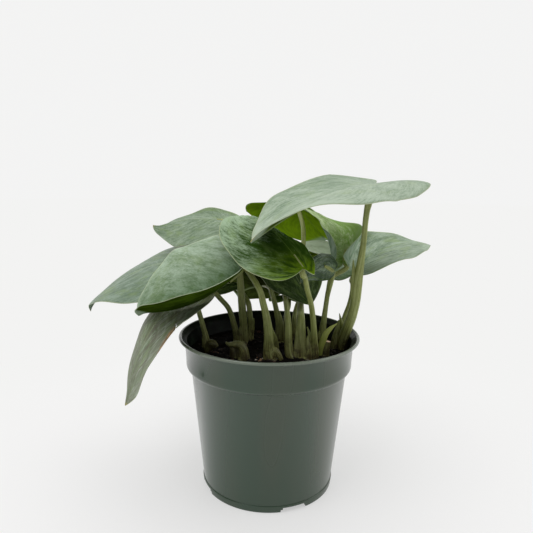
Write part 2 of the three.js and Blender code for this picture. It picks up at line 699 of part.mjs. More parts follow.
// A closed tube through a route of [x, y, z, radius], flattened from front to back
function taperedTube(route, { sides = STALK_SIDES, flat = 1 } = {}) {
  const centres = route.map(([x, y, z]) => new THREE.Vector3(x, y, z));
  const curve = new THREE.CatmullRomCurve3(centres, false, "centripetal");
  const spans = route.length - 1;
  const points = [];
  const triangles = [];
  const across = new THREE.Vector3(1, 0, 0);
  for (let i = 0; i <= spans; i += 1) {
    const u = i / spans;
    const centre = curve.getPoint(u);
    const forward = curve.getTangent(u);
    const radius = route[i][3];
    across.addScaledVector(forward, -across.dot(forward)).normalize();
    const thin = forward.clone().cross(across);
    for (let k = 0; k < sides; k += 1) {
      const angle = (k + 0.5) * 2 * Math.PI / sides;
      points.push(centre.clone()
        .addScaledVector(across, radius * Math.cos(angle))
        .addScaledVector(thin, radius * flat * Math.sin(angle)));
    }
  }
  const at = (ring, k) => ring * sides + k % sides;
  for (let ring = 0; ring < spans; ring += 1) {
    for (let k = 0; k < sides; k += 1) {
      triangles.push(at(ring, k), at(ring, k + 1), at(ring + 1, k + 1));
      triangles.push(at(ring, k), at(ring + 1, k + 1), at(ring + 1, k));
    }
  }
  for (let k = 1; k < sides - 1; k += 1) {
    triangles.push(at(0, 0), at(0, k + 1), at(0, k));
    triangles.push(at(spans, 0), at(spans, k), at(spans, k + 1));
  }
  return toSolid(closedMesh(points, triangles));
}

// The stretch of a stalk that bends in under its blade and runs out along the midrib
function stalkTop(blade, tucked) {
  const { place, forward, up } = midribFrames(blade)[0];
  const steps = tucked ? UNDER_RIB : [...BEHIND_BASE, ...UNDER_RIB];
  return steps.map(([along, below, radius]) => [
    ...place.clone().addScaledVector(forward, along).addScaledVector(up, -below).toArray(), radius,
  ]);
}

// A solid without the loose scraps that a cut has left of it
function withoutScraps(solid) {
  return joinAll(solid.decompose().filter((piece) => piece.volume() > SCRAP));
}

// One stem: its root in its hole in the soil, its stalks, and its bracts and torn sheaths
function stemGeometry(stem) {
  const [x, y] = stem.root;
  const root = [[x, y, HOLE_FLOOR + SEAT_GAP, stem.girth], [x, y, CROWN_TOP - 1, stem.girth]];
  const pieces = [taperedTube([...root, [x, y, CROWN_TOP, stem.girth / 2]], { sides: CROWN_SIDES })];
  (stem.stalks ?? []).forEach(({ blade, route, tucked }) => {
    pieces.push(taperedTube([...route, ...stalkTop(BLADES[blade], tucked)]));
  });
  (stem.bracts ?? []).forEach(({ route, flat }) => pieces.push(taperedTube(route, { sides: BRACT_SIDES, flat })));
  const ground = soilBlock(SEAT_GAP).subtract(stemHole(stem, 0));
  let whole = joinAll(pieces).subtract(ground);
  (stem.stalks ?? []).forEach(({ blade }) => {
    whole = whole.subtract(toSolid(bladeSheet(BLADES[blade], BLADE_THICKNESS + 2 * SEAT_GAP, SEAT_GAP)));
  });
  return toGeometry(withoutScraps(whole));
}

function pieceOf(name, geometry, paint) {
  const mesh = new THREE.Mesh(geometry, new THREE.MeshStandardMaterial({ ...paint, metalness: 0 }));
  mesh.name = name;
  return mesh;
}

const plant = new THREE.Group();
plant.add(pieceOf("pot", potGeometry(), PAINT.pot));
plant.add(pieceOf("soil", soilGeometry(Object.values(STEMS)), PAINT.soil));
Object.entries(STEMS).forEach(([name, stem]) => plant.add(pieceOf(name, stemGeometry(stem), PAINT.stem)));
Object.entries(BLADES).forEach(([name, blade]) => {
  plant.add(pieceOf(name, bladeSheet(blade, BLADE_THICKNESS), PAINT.leaf));
});

export default plant;
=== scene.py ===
"""A potted platinum java scindapsus: silvery heart-shaped leaves on fleshy stalks in a green nursery pot.

Metres in the scene, +Z up, the origin in the middle of the pot's underside. The plant's own sizes are given
in millimetres and degrees, the units in which such a plant is measured, and MM turns them into metres.
"""
import logging
import math
from collections.abc import Callable
from dataclasses import dataclass, field
from enum import Enum

import bmesh
import bpy
import numpy as np
from mathutils import Matrix, Vector, noise


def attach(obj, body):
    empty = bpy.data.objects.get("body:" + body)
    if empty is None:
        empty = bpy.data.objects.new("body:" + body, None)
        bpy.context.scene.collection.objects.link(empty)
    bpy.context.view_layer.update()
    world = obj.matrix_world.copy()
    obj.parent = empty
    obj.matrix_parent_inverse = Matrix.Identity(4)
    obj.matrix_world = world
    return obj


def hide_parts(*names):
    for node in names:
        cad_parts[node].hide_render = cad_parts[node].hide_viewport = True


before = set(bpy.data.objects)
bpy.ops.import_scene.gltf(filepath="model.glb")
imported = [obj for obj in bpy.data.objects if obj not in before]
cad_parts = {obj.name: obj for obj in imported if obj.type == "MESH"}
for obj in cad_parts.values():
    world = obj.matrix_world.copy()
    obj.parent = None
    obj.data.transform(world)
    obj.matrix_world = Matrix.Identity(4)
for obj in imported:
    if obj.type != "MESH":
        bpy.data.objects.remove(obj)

LOG = logging.getLogger("plant")
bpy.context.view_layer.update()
MM = 0.001
BODY = "root"
TURN = 2 * math.pi

# The types that recur: a linear colour with its alpha, an x, y and z, the points of a tube with the radius
# at each, one ring of vertices, and an input or output of a shader node.
Color = tuple[float, float, float, float]
Triple = tuple[float, float, float]
Route = list[tuple[float, float, float, float]]
Ring = list[bmesh.types.BMVert]
Socket = bpy.types.NodeSocket


class Slot(Enum):
    """The record's material slots."""

    POT = "pot_plastic"
    SOIL = "soil_mix"
    LEAF = "leaf"
    STALK = "stalk"


def lerp(low: float, high: float, share: float) -> float:
    """The value a share of the way from low to high."""
    return low + (high - low) * share


def ramp(edge: float, value: float) -> float:
    """How a value climbs from 0 at the edge to 1 at 1."""
    return max(0.0, (value - edge) / (1 - edge))


def smooth_step(low: float, high: float, value: float) -> float:
    """A soft climb from 0 at low to 1 at high."""
    share = min(max((value - low) / (high - low), 0.0), 1.0)
    return share * share * (3 - 2 * share)


def drawn(draw: np.random.Generator, least: float, more: float) -> float:
    """A random value: the least, and up to so much more."""
    return least + more * draw.random()


def linear(level: int) -> float:
    """One channel of a colour as seen, 0 to 255, by the curve of the sRGB standard."""
    share = level / 255
    return share / 12.92 if share <= 0.04045 else ((share + 0.055) / 1.055) ** 2.4


def srgb(red: int, green: int, blue: int) -> Color:
    """A colour as seen, 0 to 255, as the linear colour that a shader takes."""
    return (linear(red), linear(green), linear(blue), 1.0)


@dataclass(frozen=True)
class Pattern:
    """A noise pattern: how often it repeats along each axis, how fine it goes and how rough it is."""

    stretch: Triple
    detail: float = 3.0
    rough: float = 0.55


class Shader:
    """A small helper that adds and links the nodes of one material."""

    def __init__(self, name: str) -> None:
        """Start an empty material.

        Args:
            name: The material's name.
        """
        self.material = bpy.data.materials.new(name)
        self.material.use_nodes = True
        self.tree = self.material.node_tree
        self.tree.nodes.clear()
        self.output = self.tree.nodes.new("ShaderNodeOutputMaterial")

    def add(self, kind: str, **settings: object) -> bpy.types.Node:
        """A new node with its own settings.

        Args:
            kind: The node's type.
            **settings: The node's own properties and their values.

        Returns:
            The node.
        """
        node = self.tree.nodes.new(kind)
        for key, value in settings.items():
            setattr(node, key, value)
        return node

    def put(self, source: object, socket: Socket) -> None:
        """Link a node's output to a socket, or set a plain value on it.

        Args:
            source: The output, or the plain value.
            socket: The socket that it goes into.
        """
        if isinstance(source, Socket):
            self.tree.links.new(source, socket)
        else:
            socket.default_value = source

    def math(self, operation: str, first: object, second: object = 0.0) -> Socket:
        """The result of a Math node.

        Args:
            operation: What it does.
            first: Its first value.
            second: Its second value.

        Returns:
            The socket with the result.
        """
        node = self.add("ShaderNodeMath", operation=operation)
        self.put(first, node.inputs[0])
        self.put(second, node.inputs[1])
        return node.outputs[0]

    def plus(self, first: object, second: object) -> Socket:
        """The sum of two values."""
        return self.math("ADD", first, second)

    def times(self, first: object, second: object) -> Socket:
        """The product of two values."""
        return self.math("MULTIPLY", first, second)

    def span(
        self, value: object, low: float, high: float, to_low: float = 0.0, to_high: float = 1.0,
    ) -> Socket:
        """A value moved from one range to another, with soft ends.

        Args:
            value: The socket that holds the value.
            low: The value that gives to_low.
            high: The value that gives to_high.
            to_low: The result at and below low.
            to_high: The result at and above high.

        Returns:
            The socket with the result.
        """
        node = self.add("ShaderNodeMapRange", interpolation_type="SMOOTHSTEP")
        self.put(value, node.inputs["Value"])
        node.inputs["From Min"].default_value = low
        node.inputs["From Max"].default_value = high
        node.inputs["To Min"].default_value = to_low
        node.inputs["To Max"].default_value = to_high
        return node.outputs["Result"]

    def mix(self, share: object, first: object, second: object) -> Socket:
        """A mix of two colours.

        Args:
            share: How much of the second there is, from 0 to 1.
            first: The colour below.
            second: The colour laid over it.

        Returns:
            The socket with the mixed colour.
        """
        node = self.add("ShaderNodeMix", data_type="RGBA", blend_type="MIX")
        self.put(share, node.inputs[0])
        self.put(first, node.inputs[6])
        self.put(second, node.inputs[7])
        return node.outputs[2]

    def noise(self, vector: object, scale: float, detail: float = 3.0, rough: float = 0.55) -> Socket:
        """The value of a noise texture.

        Args:
            vector: The place that the noise follows.
            scale: How often it repeats.
            detail: How fine it goes.
            rough: How strong the fine part is.

        Returns:
            The socket with the value, about 0.5 on average.
        """
        node = self.add("ShaderNodeTexNoise")
        self.put(vector, node.inputs["Vector"])
        node.inputs["Scale"].default_value = scale
        node.inputs["Detail"].default_value = detail
        node.inputs["Roughness"].default_value = rough
        return node.outputs["Fac"]

    def pattern(self, vector: object, look: Pattern) -> Socket:
        """The value of a noise pattern that is stretched along its axes.

        Args:
            vector: The place that the pattern follows.
            look: The pattern.

        Returns:
            The socket with the value.
        """
        node = self.add("ShaderNodeMapping")
        self.put(vector, node.inputs["Vector"])
        node.inputs["Scale"].default_value = look.stretch
        return self.noise(node.outputs["Vector"], 1.0, look.detail, look.rough)

    def vector(self, name: str) -> Socket:
        """One of the mesh's own attributes, as a vector."""
        return self.add("ShaderNodeAttribute", attribute_name=name).outputs["Vector"]

    def value(self, name: str) -> Socket:
        """One of the mesh's own attributes, as a number."""
        return self.add("ShaderNodeAttribute", attribute_name=name).outputs["Fac"]

    def place(self) -> Socket:
        """The object coordinates, in metres."""
        return self.add("ShaderNodeTexCoord").outputs["Object"]

    def parts(self, vector: Socket) -> tuple[Socket, ...]:
        """A vector taken apart.

        Args:
            vector: The vector.

        Returns:
            Its X, Y and Z.
        """
        node = self.add("ShaderNodeSeparateXYZ")
        self.put(vector, node.inputs[0])
        return tuple(node.outputs)

    def bump(self, height: object, strength: float, distance: float) -> Socket:
        """A bumped normal from a height.

        Args:
            height: The socket that holds the height.
            strength: How strongly it shows.
            distance: How high a height of 1 stands, in metres.

        Returns:
            The socket with the normal.
        """
        node = self.add("ShaderNodeBump")
        node.inputs["Strength"].default_value = strength
        node.inputs["Distance"].default_value = distance
        self.put(height, node.inputs["Height"])
        return node.outputs["Normal"]

    def surface(
        self, color: object, rough: object, normal: object = None, **fixed: float,
    ) -> bpy.types.Node:
        """The Principled shader, linked to the output.

        Args:
            color: The base colour.
            rough: The roughness.
            normal: The bumped normal, if there is one.
            **fixed: Plain values for other sockets, with spaces in their names as underscores.

        Returns:
            The shader node.
        """
        node = self.add("ShaderNodeBsdfPrincipled")
        self.put(color, node.inputs["Base Color"])
        self.put(rough, node.inputs["Roughness"])
        if normal is not None:
            self.put(normal, node.inputs["Normal"])
        for key, value in fixed.items():
            node.inputs[key.replace("_", " ")].default_value = value
        self.put(node.outputs[0], self.output.inputs["Surface"])
        return node

    def join(self, share: object, first: bpy.types.Node, second: bpy.types.Node) -> None:
        """Mix two shaders, linked to the output.

        Args:
            share: How much of the second there is, from 0 to 1.
            first: One shader.
            second: The other shader.
        """
        both = self.add("ShaderNodeMixShader")
        self.put(share, both.inputs[0])
        self.put(first.outputs[0], both.inputs[1])
        self.put(second.outputs[0], both.inputs[2])
        self.put(both.outputs[0], self.output.inputs["Surface"])


@dataclass(frozen=True)
class PotFinish:
    """Glossy dark green moulded plastic with fine handling marks, with a painted highlight on its rim and
    painted shade on its inside wall.
    """

    color: Color = srgb(40, 63, 45)
    warm: Color = srgb(50, 64, 46)
    # The inside colour is painted shade: the inside wall is painted near black.
    inside: Color = srgb(14, 17, 13)
    # The rim colour is a painted highlight: the lip above the given height is mixed towards this pale
    # colour, for light glancing off it.
    rim: Color = srgb(132, 140, 126)
    rim_highlight_height: float = 0.0915
    rim_highlight_fade: float = 0.001
    rim_highlight_share: float = 0.6
    roughness: float = 0.24

    UPRIGHT = Pattern((38, 38, 5), 2)
    SCUFF = Pattern((60, 60, 900))
    GRAIN_SCALE = 900
    FILM_SCALE = 160

    def outer(self) -> bpy.types.Material:
        """The outside: green with faint upright streaks, fine scuffs from handling and a painted highlight
        on the lip.

        Returns:
            The finished material.
        """
        shader = Shader("pot_plastic")
        place = shader.place()
        upright = shader.pattern(place, self.UPRIGHT)
        grain = shader.noise(place, self.GRAIN_SCALE, 2)
        scuff = shader.pattern(place, self.SCUFF)
        color = shader.mix(shader.span(upright, 0.35, 0.7), self.color, self.warm)
        # Painted highlight: the lip above the given height is mixed towards the pale rim colour.
        _, _, above = shader.parts(place)
        lit_rim = shader.span(above, self.rim_highlight_height, self.rim_highlight_height + self.rim_highlight_fade, 0.0, self.rim_highlight_share)
        color = shader.mix(lit_rim, color, self.rim)
        rough = shader.span(upright, 0.3, 0.7, self.roughness - 0.04, self.roughness + 0.05)
        height = shader.plus(shader.times(grain, 0.5), shader.times(scuff, 0.5))
        bump = shader.bump(height, 0.05, 0.0003)
        shader.surface(color, rough, bump, IOR=1.5, Coat_Weight=0.3, Coat_Roughness=0.05)
        return shader.material

    def inner(self) -> bpy.types.Material:
        """The inside wall, painted near black as shade, with faint paler patches.

        Returns:
            The finished material.
        """
        shader = Shader("pot_plastic_inside_shade")
        film = shader.noise(shader.place(), self.FILM_SCALE, 4)
        # Painted shade: the inside wall is near black, patched a little towards the outer green.
        color = shader.mix(shader.span(film, 0.45, 0.75, 0.0, 0.5), self.inside, self.color)
        shader.surface(color, shader.span(film, 0.3, 0.7, 0.3, 0.6), Specular_IOR_Level=0.3)
        return shader.material


@dataclass(frozen=True)
class SoilFinish:
    """Damp dark potting mix."""

    dark: Color = srgb(8, 6, 4)
    light: Color = srgb(34, 25, 18)

    CRUMB_SCALE = 420
    PATCH_SCALE = 90

    def material(self) -> bpy.types.Material:
        """The mix: nearly black, with paler crumbs in patches.

        Returns:
            The finished material.
        """
        shader = Shader("soil_mix")
        place = shader.place()
        crumb = shader.noise(place, self.CRUMB_SCALE, 5, 0.7)
        patch = shader.noise(place, self.PATCH_SCALE, 3)
        tone = shader.times(shader.span(crumb, 0.4, 0.75), shader.span(patch, 0.3, 0.7, 0.3, 1.0))
        color = shader.mix(tone, self.dark, self.light)
        shader.surface(color, 0.9, shader.bump(crumb, 0.8, 0.0012), Specular_IOR_Level=0.15)
        return shader.material


@dataclass(frozen=True)
class ChipFinish:
    """One kind of bit that lies in the potting mix."""

    name: str
    dark: Color
    light: Color
    roughness: float = 0.85

    GRAIN = Pattern((900, 300, 600), 4, 0.65)

    def material(self) -> bpy.types.Material:
        """The bit's surface, with a fibrous grain.

        Returns:
            The finished material.
        """
        shader = Shader(self.name)
        grain = shader.pattern(shader.place(), self.GRAIN)
        color = shader.mix(shader.span(grain, 0.3, 0.7), self.dark, self.light)
        shader.surface(color, self.roughness, shader.bump(grain, 0.6, 0.0005))
        return shader.material


@dataclass(frozen=True)
class LeafFinish:
    """How one leaf looks: its green, its silver and its underside.

    The tint around the sinus is painted light and shade, pale where light comes through the blade there and
    dark where shade falls there, and its share says how strongly it shows. warmth is how strongly
    yellow-green patches show, and edge the same for the pale margin. glow is the share of light that comes
    through the blade from behind. brown is how strongly dull brown streaks show, and lined the same for
    thin pale lines. seed sets its own pattern.
    """

    name: str
    green: Color = srgb(92, 124, 92)
    silver_color: Color = srgb(178, 199, 182)
    under: Color = srgb(84, 104, 34)
    under_dark: Color = srgb(46, 64, 18)
    margin: Color = srgb(190, 200, 160)
    rib: Color = srgb(160, 178, 126)
    tip: Color = srgb(150, 140, 70)
    # Painted light and shade: the tint around the sinus.
    sinus_light_shade: Color = srgb(112, 138, 34)
    warm: Color = srgb(118, 144, 74)
    speck: Color = srgb(206, 218, 204)
    dry: Color = srgb(196, 158, 104)
    stain: Color = srgb(104, 96, 82)
    rust: Color = srgb(74, 44, 26)
    light_through: Color = srgb(150, 190, 20)
    # The share with which the painted light and shade by the sinus shows.
    sinus_light_shade_share: float = 0.0
    warmth: float = 0.5
    edge: float = 0.55
    roughness: float = 0.4
    gloss: float = 0.35
    under_roughness: float = 0.6
    under_gloss: float = 0.0
    glow: float = 0.25
    brown: float = 0.0
    lined: float = 0.0
    seed: float = 0.0

    # The patterns of the upper face, of the dry edge and of the underside.
    STREAK = Pattern((42, 8, 1), 4, 0.65)
    FINE = Pattern((120, 26, 1), 3, 0.65)
    PATCH = Pattern((7, 3, 1))
    BLUSH = Pattern((4.5, 3.5, 1), 4, 0.65)
    DOT = Pattern((150, 110, 1), 1)
    STAIN = Pattern((3, 24, 1), 3, 0.6)
    PALE_LINE = Pattern((4, 46, 1), 2, 0.6)
    RAGGED = Pattern((22, 14, 1), 4, 0.7)
    UNDER_STREAK = Pattern((38, 4, 1))
    UNDER_PATCH = Pattern((6, 2.4, 1), 2)
    RUST = Pattern((60, 24, 1), 4, 0.7)

    # How much each pattern adds to the silver, and what is taken off their sum.
    STREAK_WEIGHT = 1.4
    FINE_WEIGHT = 1.1
    PATCH_WEIGHT = 1.3
    SILVER_BELOW = 1.9

    # Where each mark begins and ends, as shares of the way along the midrib or out to the margin.
    SINUS = (-0.12, 0.22)
    RIB = (0.004, 0.018)
    RIB_END = (0.02, 0.1)
    MARGIN = (0.978, 0.996)
    TIP = (0.965, 0.992)
    UNDER_RIB = (0.012, 0.05)
    UNDER_MARGIN = (0.975, 0.995)
    UNDER_TIP = (0.86, 0.95)

    # How high the pattern stands, in metres.
    VEIN_RELIEF = 0.0006

    def leaf_place(self, shader: Shader) -> tuple[Socket, ...]:
        """Where a point lies on the leaf.

        Args:
            shader: The material that is being made.

        Returns:
            The way along the midrib, the way out to the margin, both as shares, and the painted sheen and
            shade of the silver there.
        """
        along, out, lit_silver = shader.parts(shader.vector("place"))
        return along, shader.math("ABSOLUTE", out), lit_silver

    def with_dry_edge(self, shader: Shader, color: Socket, vein: Socket) -> Socket:
        """A colour with the tan of a torn edge laid over it, its border ragged.

        Args:
            shader: The material that is being made.
            color: The colour so far.
            vein: The place on the blade that the pattern follows.

        Returns:
            The new colour.
        """
        ragged = shader.pattern(vein, self.RAGGED)
        dried = shader.plus(shader.value("wear"), ragged)
        tan = shader.mix(shader.span(ragged, 0.35, 0.65), self.dry, self.stain)
        return shader.mix(shader.span(dried, 0.9, 1.1), color, tan)

    def with_old_streaks(self, shader: Shader, color: Socket, vein: Socket) -> Socket:
        """A colour with the brown streaks and the thin pale lines of an old leaf laid over it.

        Args:
            shader: The material that is being made.
            color: The colour so far.
            vein: The place on the blade that the pattern follows.

        Returns:
            The new colour.
        """
        if self.brown:
            stained = shader.span(shader.pattern(vein, self.STAIN), 0.44, 0.56, 0.0, self.brown)
            color = shader.mix(stained, color, self.stain)
        if self.lined:
            pale = shader.span(shader.pattern(vein, self.PALE_LINE), 0.57, 0.64, 0.0, self.lined)
            color = shader.mix(pale, color, self.speck)
        return color

    def upper(self) -> bpy.types.Material:
        """The upper face: green under a brushed silver bloom, with a pale midrib and margin; painted sheen
        and shade raise and lower the silver, and a painted tint of light and shade lies by the sinus.

        Returns:
            The finished material.
        """
        shader = Shader(f"{self.name}_upper")
        vein = shader.vector("vein")
        along, out, lit_silver = self.leaf_place(shader)
        streak = shader.pattern(vein, self.STREAK)
        fine = shader.pattern(vein, self.FINE)
        patch = shader.pattern(vein, self.PATCH)
        silver = shader.plus(shader.times(streak, self.STREAK_WEIGHT), shader.times(fine, self.FINE_WEIGHT))
        silver = shader.plus(silver, shader.times(patch, self.PATCH_WEIGHT))
        # Painted sheen and shade: the leaf's own gradient raises the silver where the blade catches the
        # light and lowers it where it lies in shade.
        silver = shader.plus(shader.math("SUBTRACT", silver, self.SILVER_BELOW), lit_silver)
        silver = shader.span(silver, 0.0, 1.0)
        color = shader.mix(silver, self.green, self.silver_color)
        blush = shader.pattern(vein, self.BLUSH)
        color = shader.mix(shader.span(blush, 0.47, 0.68, 0.0, self.warmth), color, self.warm)
        dots = shader.times(shader.span(shader.pattern(vein, self.DOT), 0.68, 0.78, 0.0, 0.6), silver)
        color = shader.mix(dots, color, self.speck)
        # Painted light and shade by the sinus: the tint is laid over the colour near the base of the blade,
        # in patches.
        if self.sinus_light_shade_share:
            near = shader.span(along, *self.SINUS, self.sinus_light_shade_share, 0.0)
            near = shader.times(near, shader.span(patch, 0.3, 0.6))
            color = shader.mix(near, color, self.sinus_light_shade)
        color = self.with_old_streaks(shader, color, vein)
        rib = shader.times(shader.span(out, *self.RIB, 0.4, 0.0), shader.span(along, *self.RIB_END))
        color = shader.mix(rib, color, self.rib)
        color = shader.mix(shader.span(out, *self.MARGIN, 0.0, self.edge), color, self.margin)
        color = shader.mix(shader.span(along, *self.TIP, 0.0, 0.8), color, self.tip)
        color = self.with_dry_edge(shader, color, vein)
        height = shader.plus(shader.times(streak, 0.6), shader.times(fine, 0.4))
        rough = shader.span(silver, 0.0, 1.0, self.roughness, self.roughness + 0.12)
        bump = shader.bump(height, 0.25, self.VEIN_RELIEF)
        shader.surface(color, rough, bump, Specular_IOR_Level=self.gloss)
        return shader.material

    def lower(self) -> bpy.types.Material:
        """The underside: a plainer, brighter green that lets some light through, silver at its tip.

        Returns:
            The finished material.
        """
        shader = Shader(f"{self.name}_lower")
        vein = shader.vector("vein")
        along, out, _ = self.leaf_place(shader)
        streak = shader.pattern(vein, self.UNDER_STREAK)
        patch = shader.pattern(vein, self.UNDER_PATCH)
        tone = shader.times(shader.plus(streak, patch), 0.5)
        color = shader.mix(shader.span(tone, 0.4, 0.62), self.under_dark, self.under)
        if self.brown:
            rusty = shader.span(shader.pattern(vein, self.RUST), 0.52, 0.68, 0.0, self.brown)
            color = shader.mix(rusty, color, self.rust)
        color = shader.mix(shader.span(out, *self.UNDER_RIB, 0.5, 0.0), color, self.rib)
        color = shader.mix(shader.span(out, *self.UNDER_MARGIN, 0.0, self.edge), color, self.margin)
        color = shader.mix(shader.span(along, *self.UNDER_TIP, 0.0, 0.8), color, self.silver_color)
        color = self.with_dry_edge(shader, color, vein)
        bump = shader.bump(streak, 0.2, self.VEIN_RELIEF)
        face = shader.surface(color, self.under_roughness, bump, Specular_IOR_Level=self.under_gloss)
        through = shader.add("ShaderNodeBsdfTranslucent")
        shader.put(shader.mix(0.5, color, self.light_through), through.inputs["Color"])
        shader.join(self.glow, face, through)
        return shader.material


@dataclass(frozen=True)
class StalkFinish:
    """Fleshy olive stalks, browner and darker by the soil, partly their own brown and partly painted shade,
    with fine lengthwise lines.

    The mesh's tone holds how pale and young a piece is, how dry and tan, and how dark with age. The brown
    and painted shade by the soil fade out between two given heights, in metres, along a border as ragged
    as the blotches.
    """

    name: str = "stalk"
    # The low colour is partly the stalks' own brown and partly painted shade by the soil.
    low: Color = srgb(88, 80, 42)
    high: Color = srgb(128, 138, 70)
    streak: Color = srgb(172, 180, 116)
    spot: Color = srgb(66, 56, 30)
    young: Color = srgb(164, 174, 86)
    aged: Color = srgb(52, 46, 22)
    dry: Color = srgb(182, 146, 104)
    brown_shade_reach: tuple[float, float] = (0.088, 0.108)
    ragged: float = 0.012

    LINE = Pattern((6, 6, 0.8), 3, 0.6)
    BLOTCH_SCALE = 210
    SPECK_SCALE = 900

    def material(self) -> bpy.types.Material:
        """The stalks' skin, with its lines, blotches and specks.

        Returns:
            The finished material.
        """
        shader = Shader(self.name)
        place = shader.place()
        _, _, above = shader.parts(place)
        line = shader.pattern(shader.vector("stalk"), self.LINE)
        blotch = shader.noise(place, self.BLOTCH_SCALE, 4, 0.65)
        speck = shader.noise(place, self.SPECK_SCALE, 2)
        edge = shader.plus(above, shader.times(blotch, self.ragged))
        # Partly own brown and partly painted shade: low down the stalks are mixed towards the dark low
        # colour, and blotched more there.
        brown_and_shade = shader.span(edge, *self.brown_shade_reach, 1.0, 0.0)
        color = shader.mix(brown_and_shade, self.high, self.low)
        color = shader.mix(shader.span(line, 0.46, 0.6, 0.0, 0.7), color, self.streak)
        stain = shader.span(blotch, 0.48, 0.6, 0.0, 0.85)
        stain = shader.times(stain, shader.span(brown_and_shade, 0.0, 1.0, 0.2, 1.0))
        color = shader.mix(stain, color, self.spot)
        color = shader.mix(shader.span(speck, 0.66, 0.76, 0.0, 0.5), color, self.spot)
        pale, tan, age = shader.parts(shader.vector("tone"))
        color = shader.mix(shader.times(pale, 0.8), color, self.young)
        darkened = shader.times(age, shader.span(blotch, 0.3, 0.6, 0.4, 1.0))
        color = shader.mix(darkened, color, self.aged)
        color = shader.mix(tan, color, self.dry)
        bump = shader.bump(shader.plus(line, shader.times(blotch, 0.3)), 0.35, 0.0008)
        shader.surface(color, shader.span(blotch, 0.3, 0.7, 0.36, 0.5), bump, Specular_IOR_Level=0.4)
        return shader.material


def finish_mesh(mesh: bmesh.types.BMesh, name: str, smooth: bool = True) -> bpy.types.Object:
    """Turn a bmesh into an object in the scene.

    Args:
        mesh: The bmesh, freed afterwards.
        name: The object's name.
        smooth: Whether its faces are shaded smooth.

    Returns:
        The new object.
    """
    data = bpy.data.meshes.new(name)
    mesh.to_mesh(data)
    mesh.free()
    if smooth:
        data.shade_smooth()
    made = bpy.data.objects.new(name, data)
    bpy.context.scene.collection.objects.link(made)
    return made


def seat(piece: bpy.types.Object, slot: Slot, *nodes: str) -> None:
    """Let a piece ride on the plant's body, and stand for its plain solids.

    Args:
        piece: The finished piece.
        slot: The piece's material slot; not used.
        *nodes: The solids that it replaces.
    """
    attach(piece, BODY)
    if nodes:
        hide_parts(*nodes)
    LOG.info("%s: %d faces", piece.name, len(piece.data.polygons))


def ring(
    mesh: bmesh.types.BMesh, radius: float, segments: int, height: float | Callable[[float, float], float],
) -> Ring:
    """One ring of vertices round the pot's axis, or a single one on it.

    Args:
        mesh: The mesh that it goes into.
        radius: Its radius in millimetres.
        segments: The number of its vertices, unless the radius is 0.
        height: Its height in millimetres, or what gives the height at a place.

    Returns:
        Its vertices.
    """
    made = []
    for k in range(segments if radius else 1):
        angle = TURN * k / segments
        x, y = radius * math.cos(angle), radius * math.sin(angle)
        up = height(x, y) if callable(height) else height
        made.append(mesh.verts.new((x * MM, y * MM, up * MM)))
    return made


def stitch(mesh: bmesh.types.BMesh, rings: list[Ring], segments: int) -> list[list[bmesh.types.BMFace]]:
    """Join rings of vertices with bands of faces. A ring of one vertex is a pole.

    Args:
        mesh: The mesh that they lie in.
        rings: The rings, in order.
        segments: The number of vertices in each ring that is no pole.

    Returns:
        The faces of each band, in order.
    """
    bands = []
    for low, high in zip(rings, rings[1:]):
        band = []
        for k in range(segments):
            n = (k + 1) % segments
            corners = [low[k % len(low)], low[n % len(low)], high[n % len(high)], high[k % len(high)]]
            band.append(mesh.faces.new(list(dict.fromkeys(corners))))
        bands.append(band)
    return bands


@dataclass
class Frame:
    """A point of a midrib with its forward, left and up directions."""

    place: Vector
    forward: Vector
    left: Vector
    up: Vector


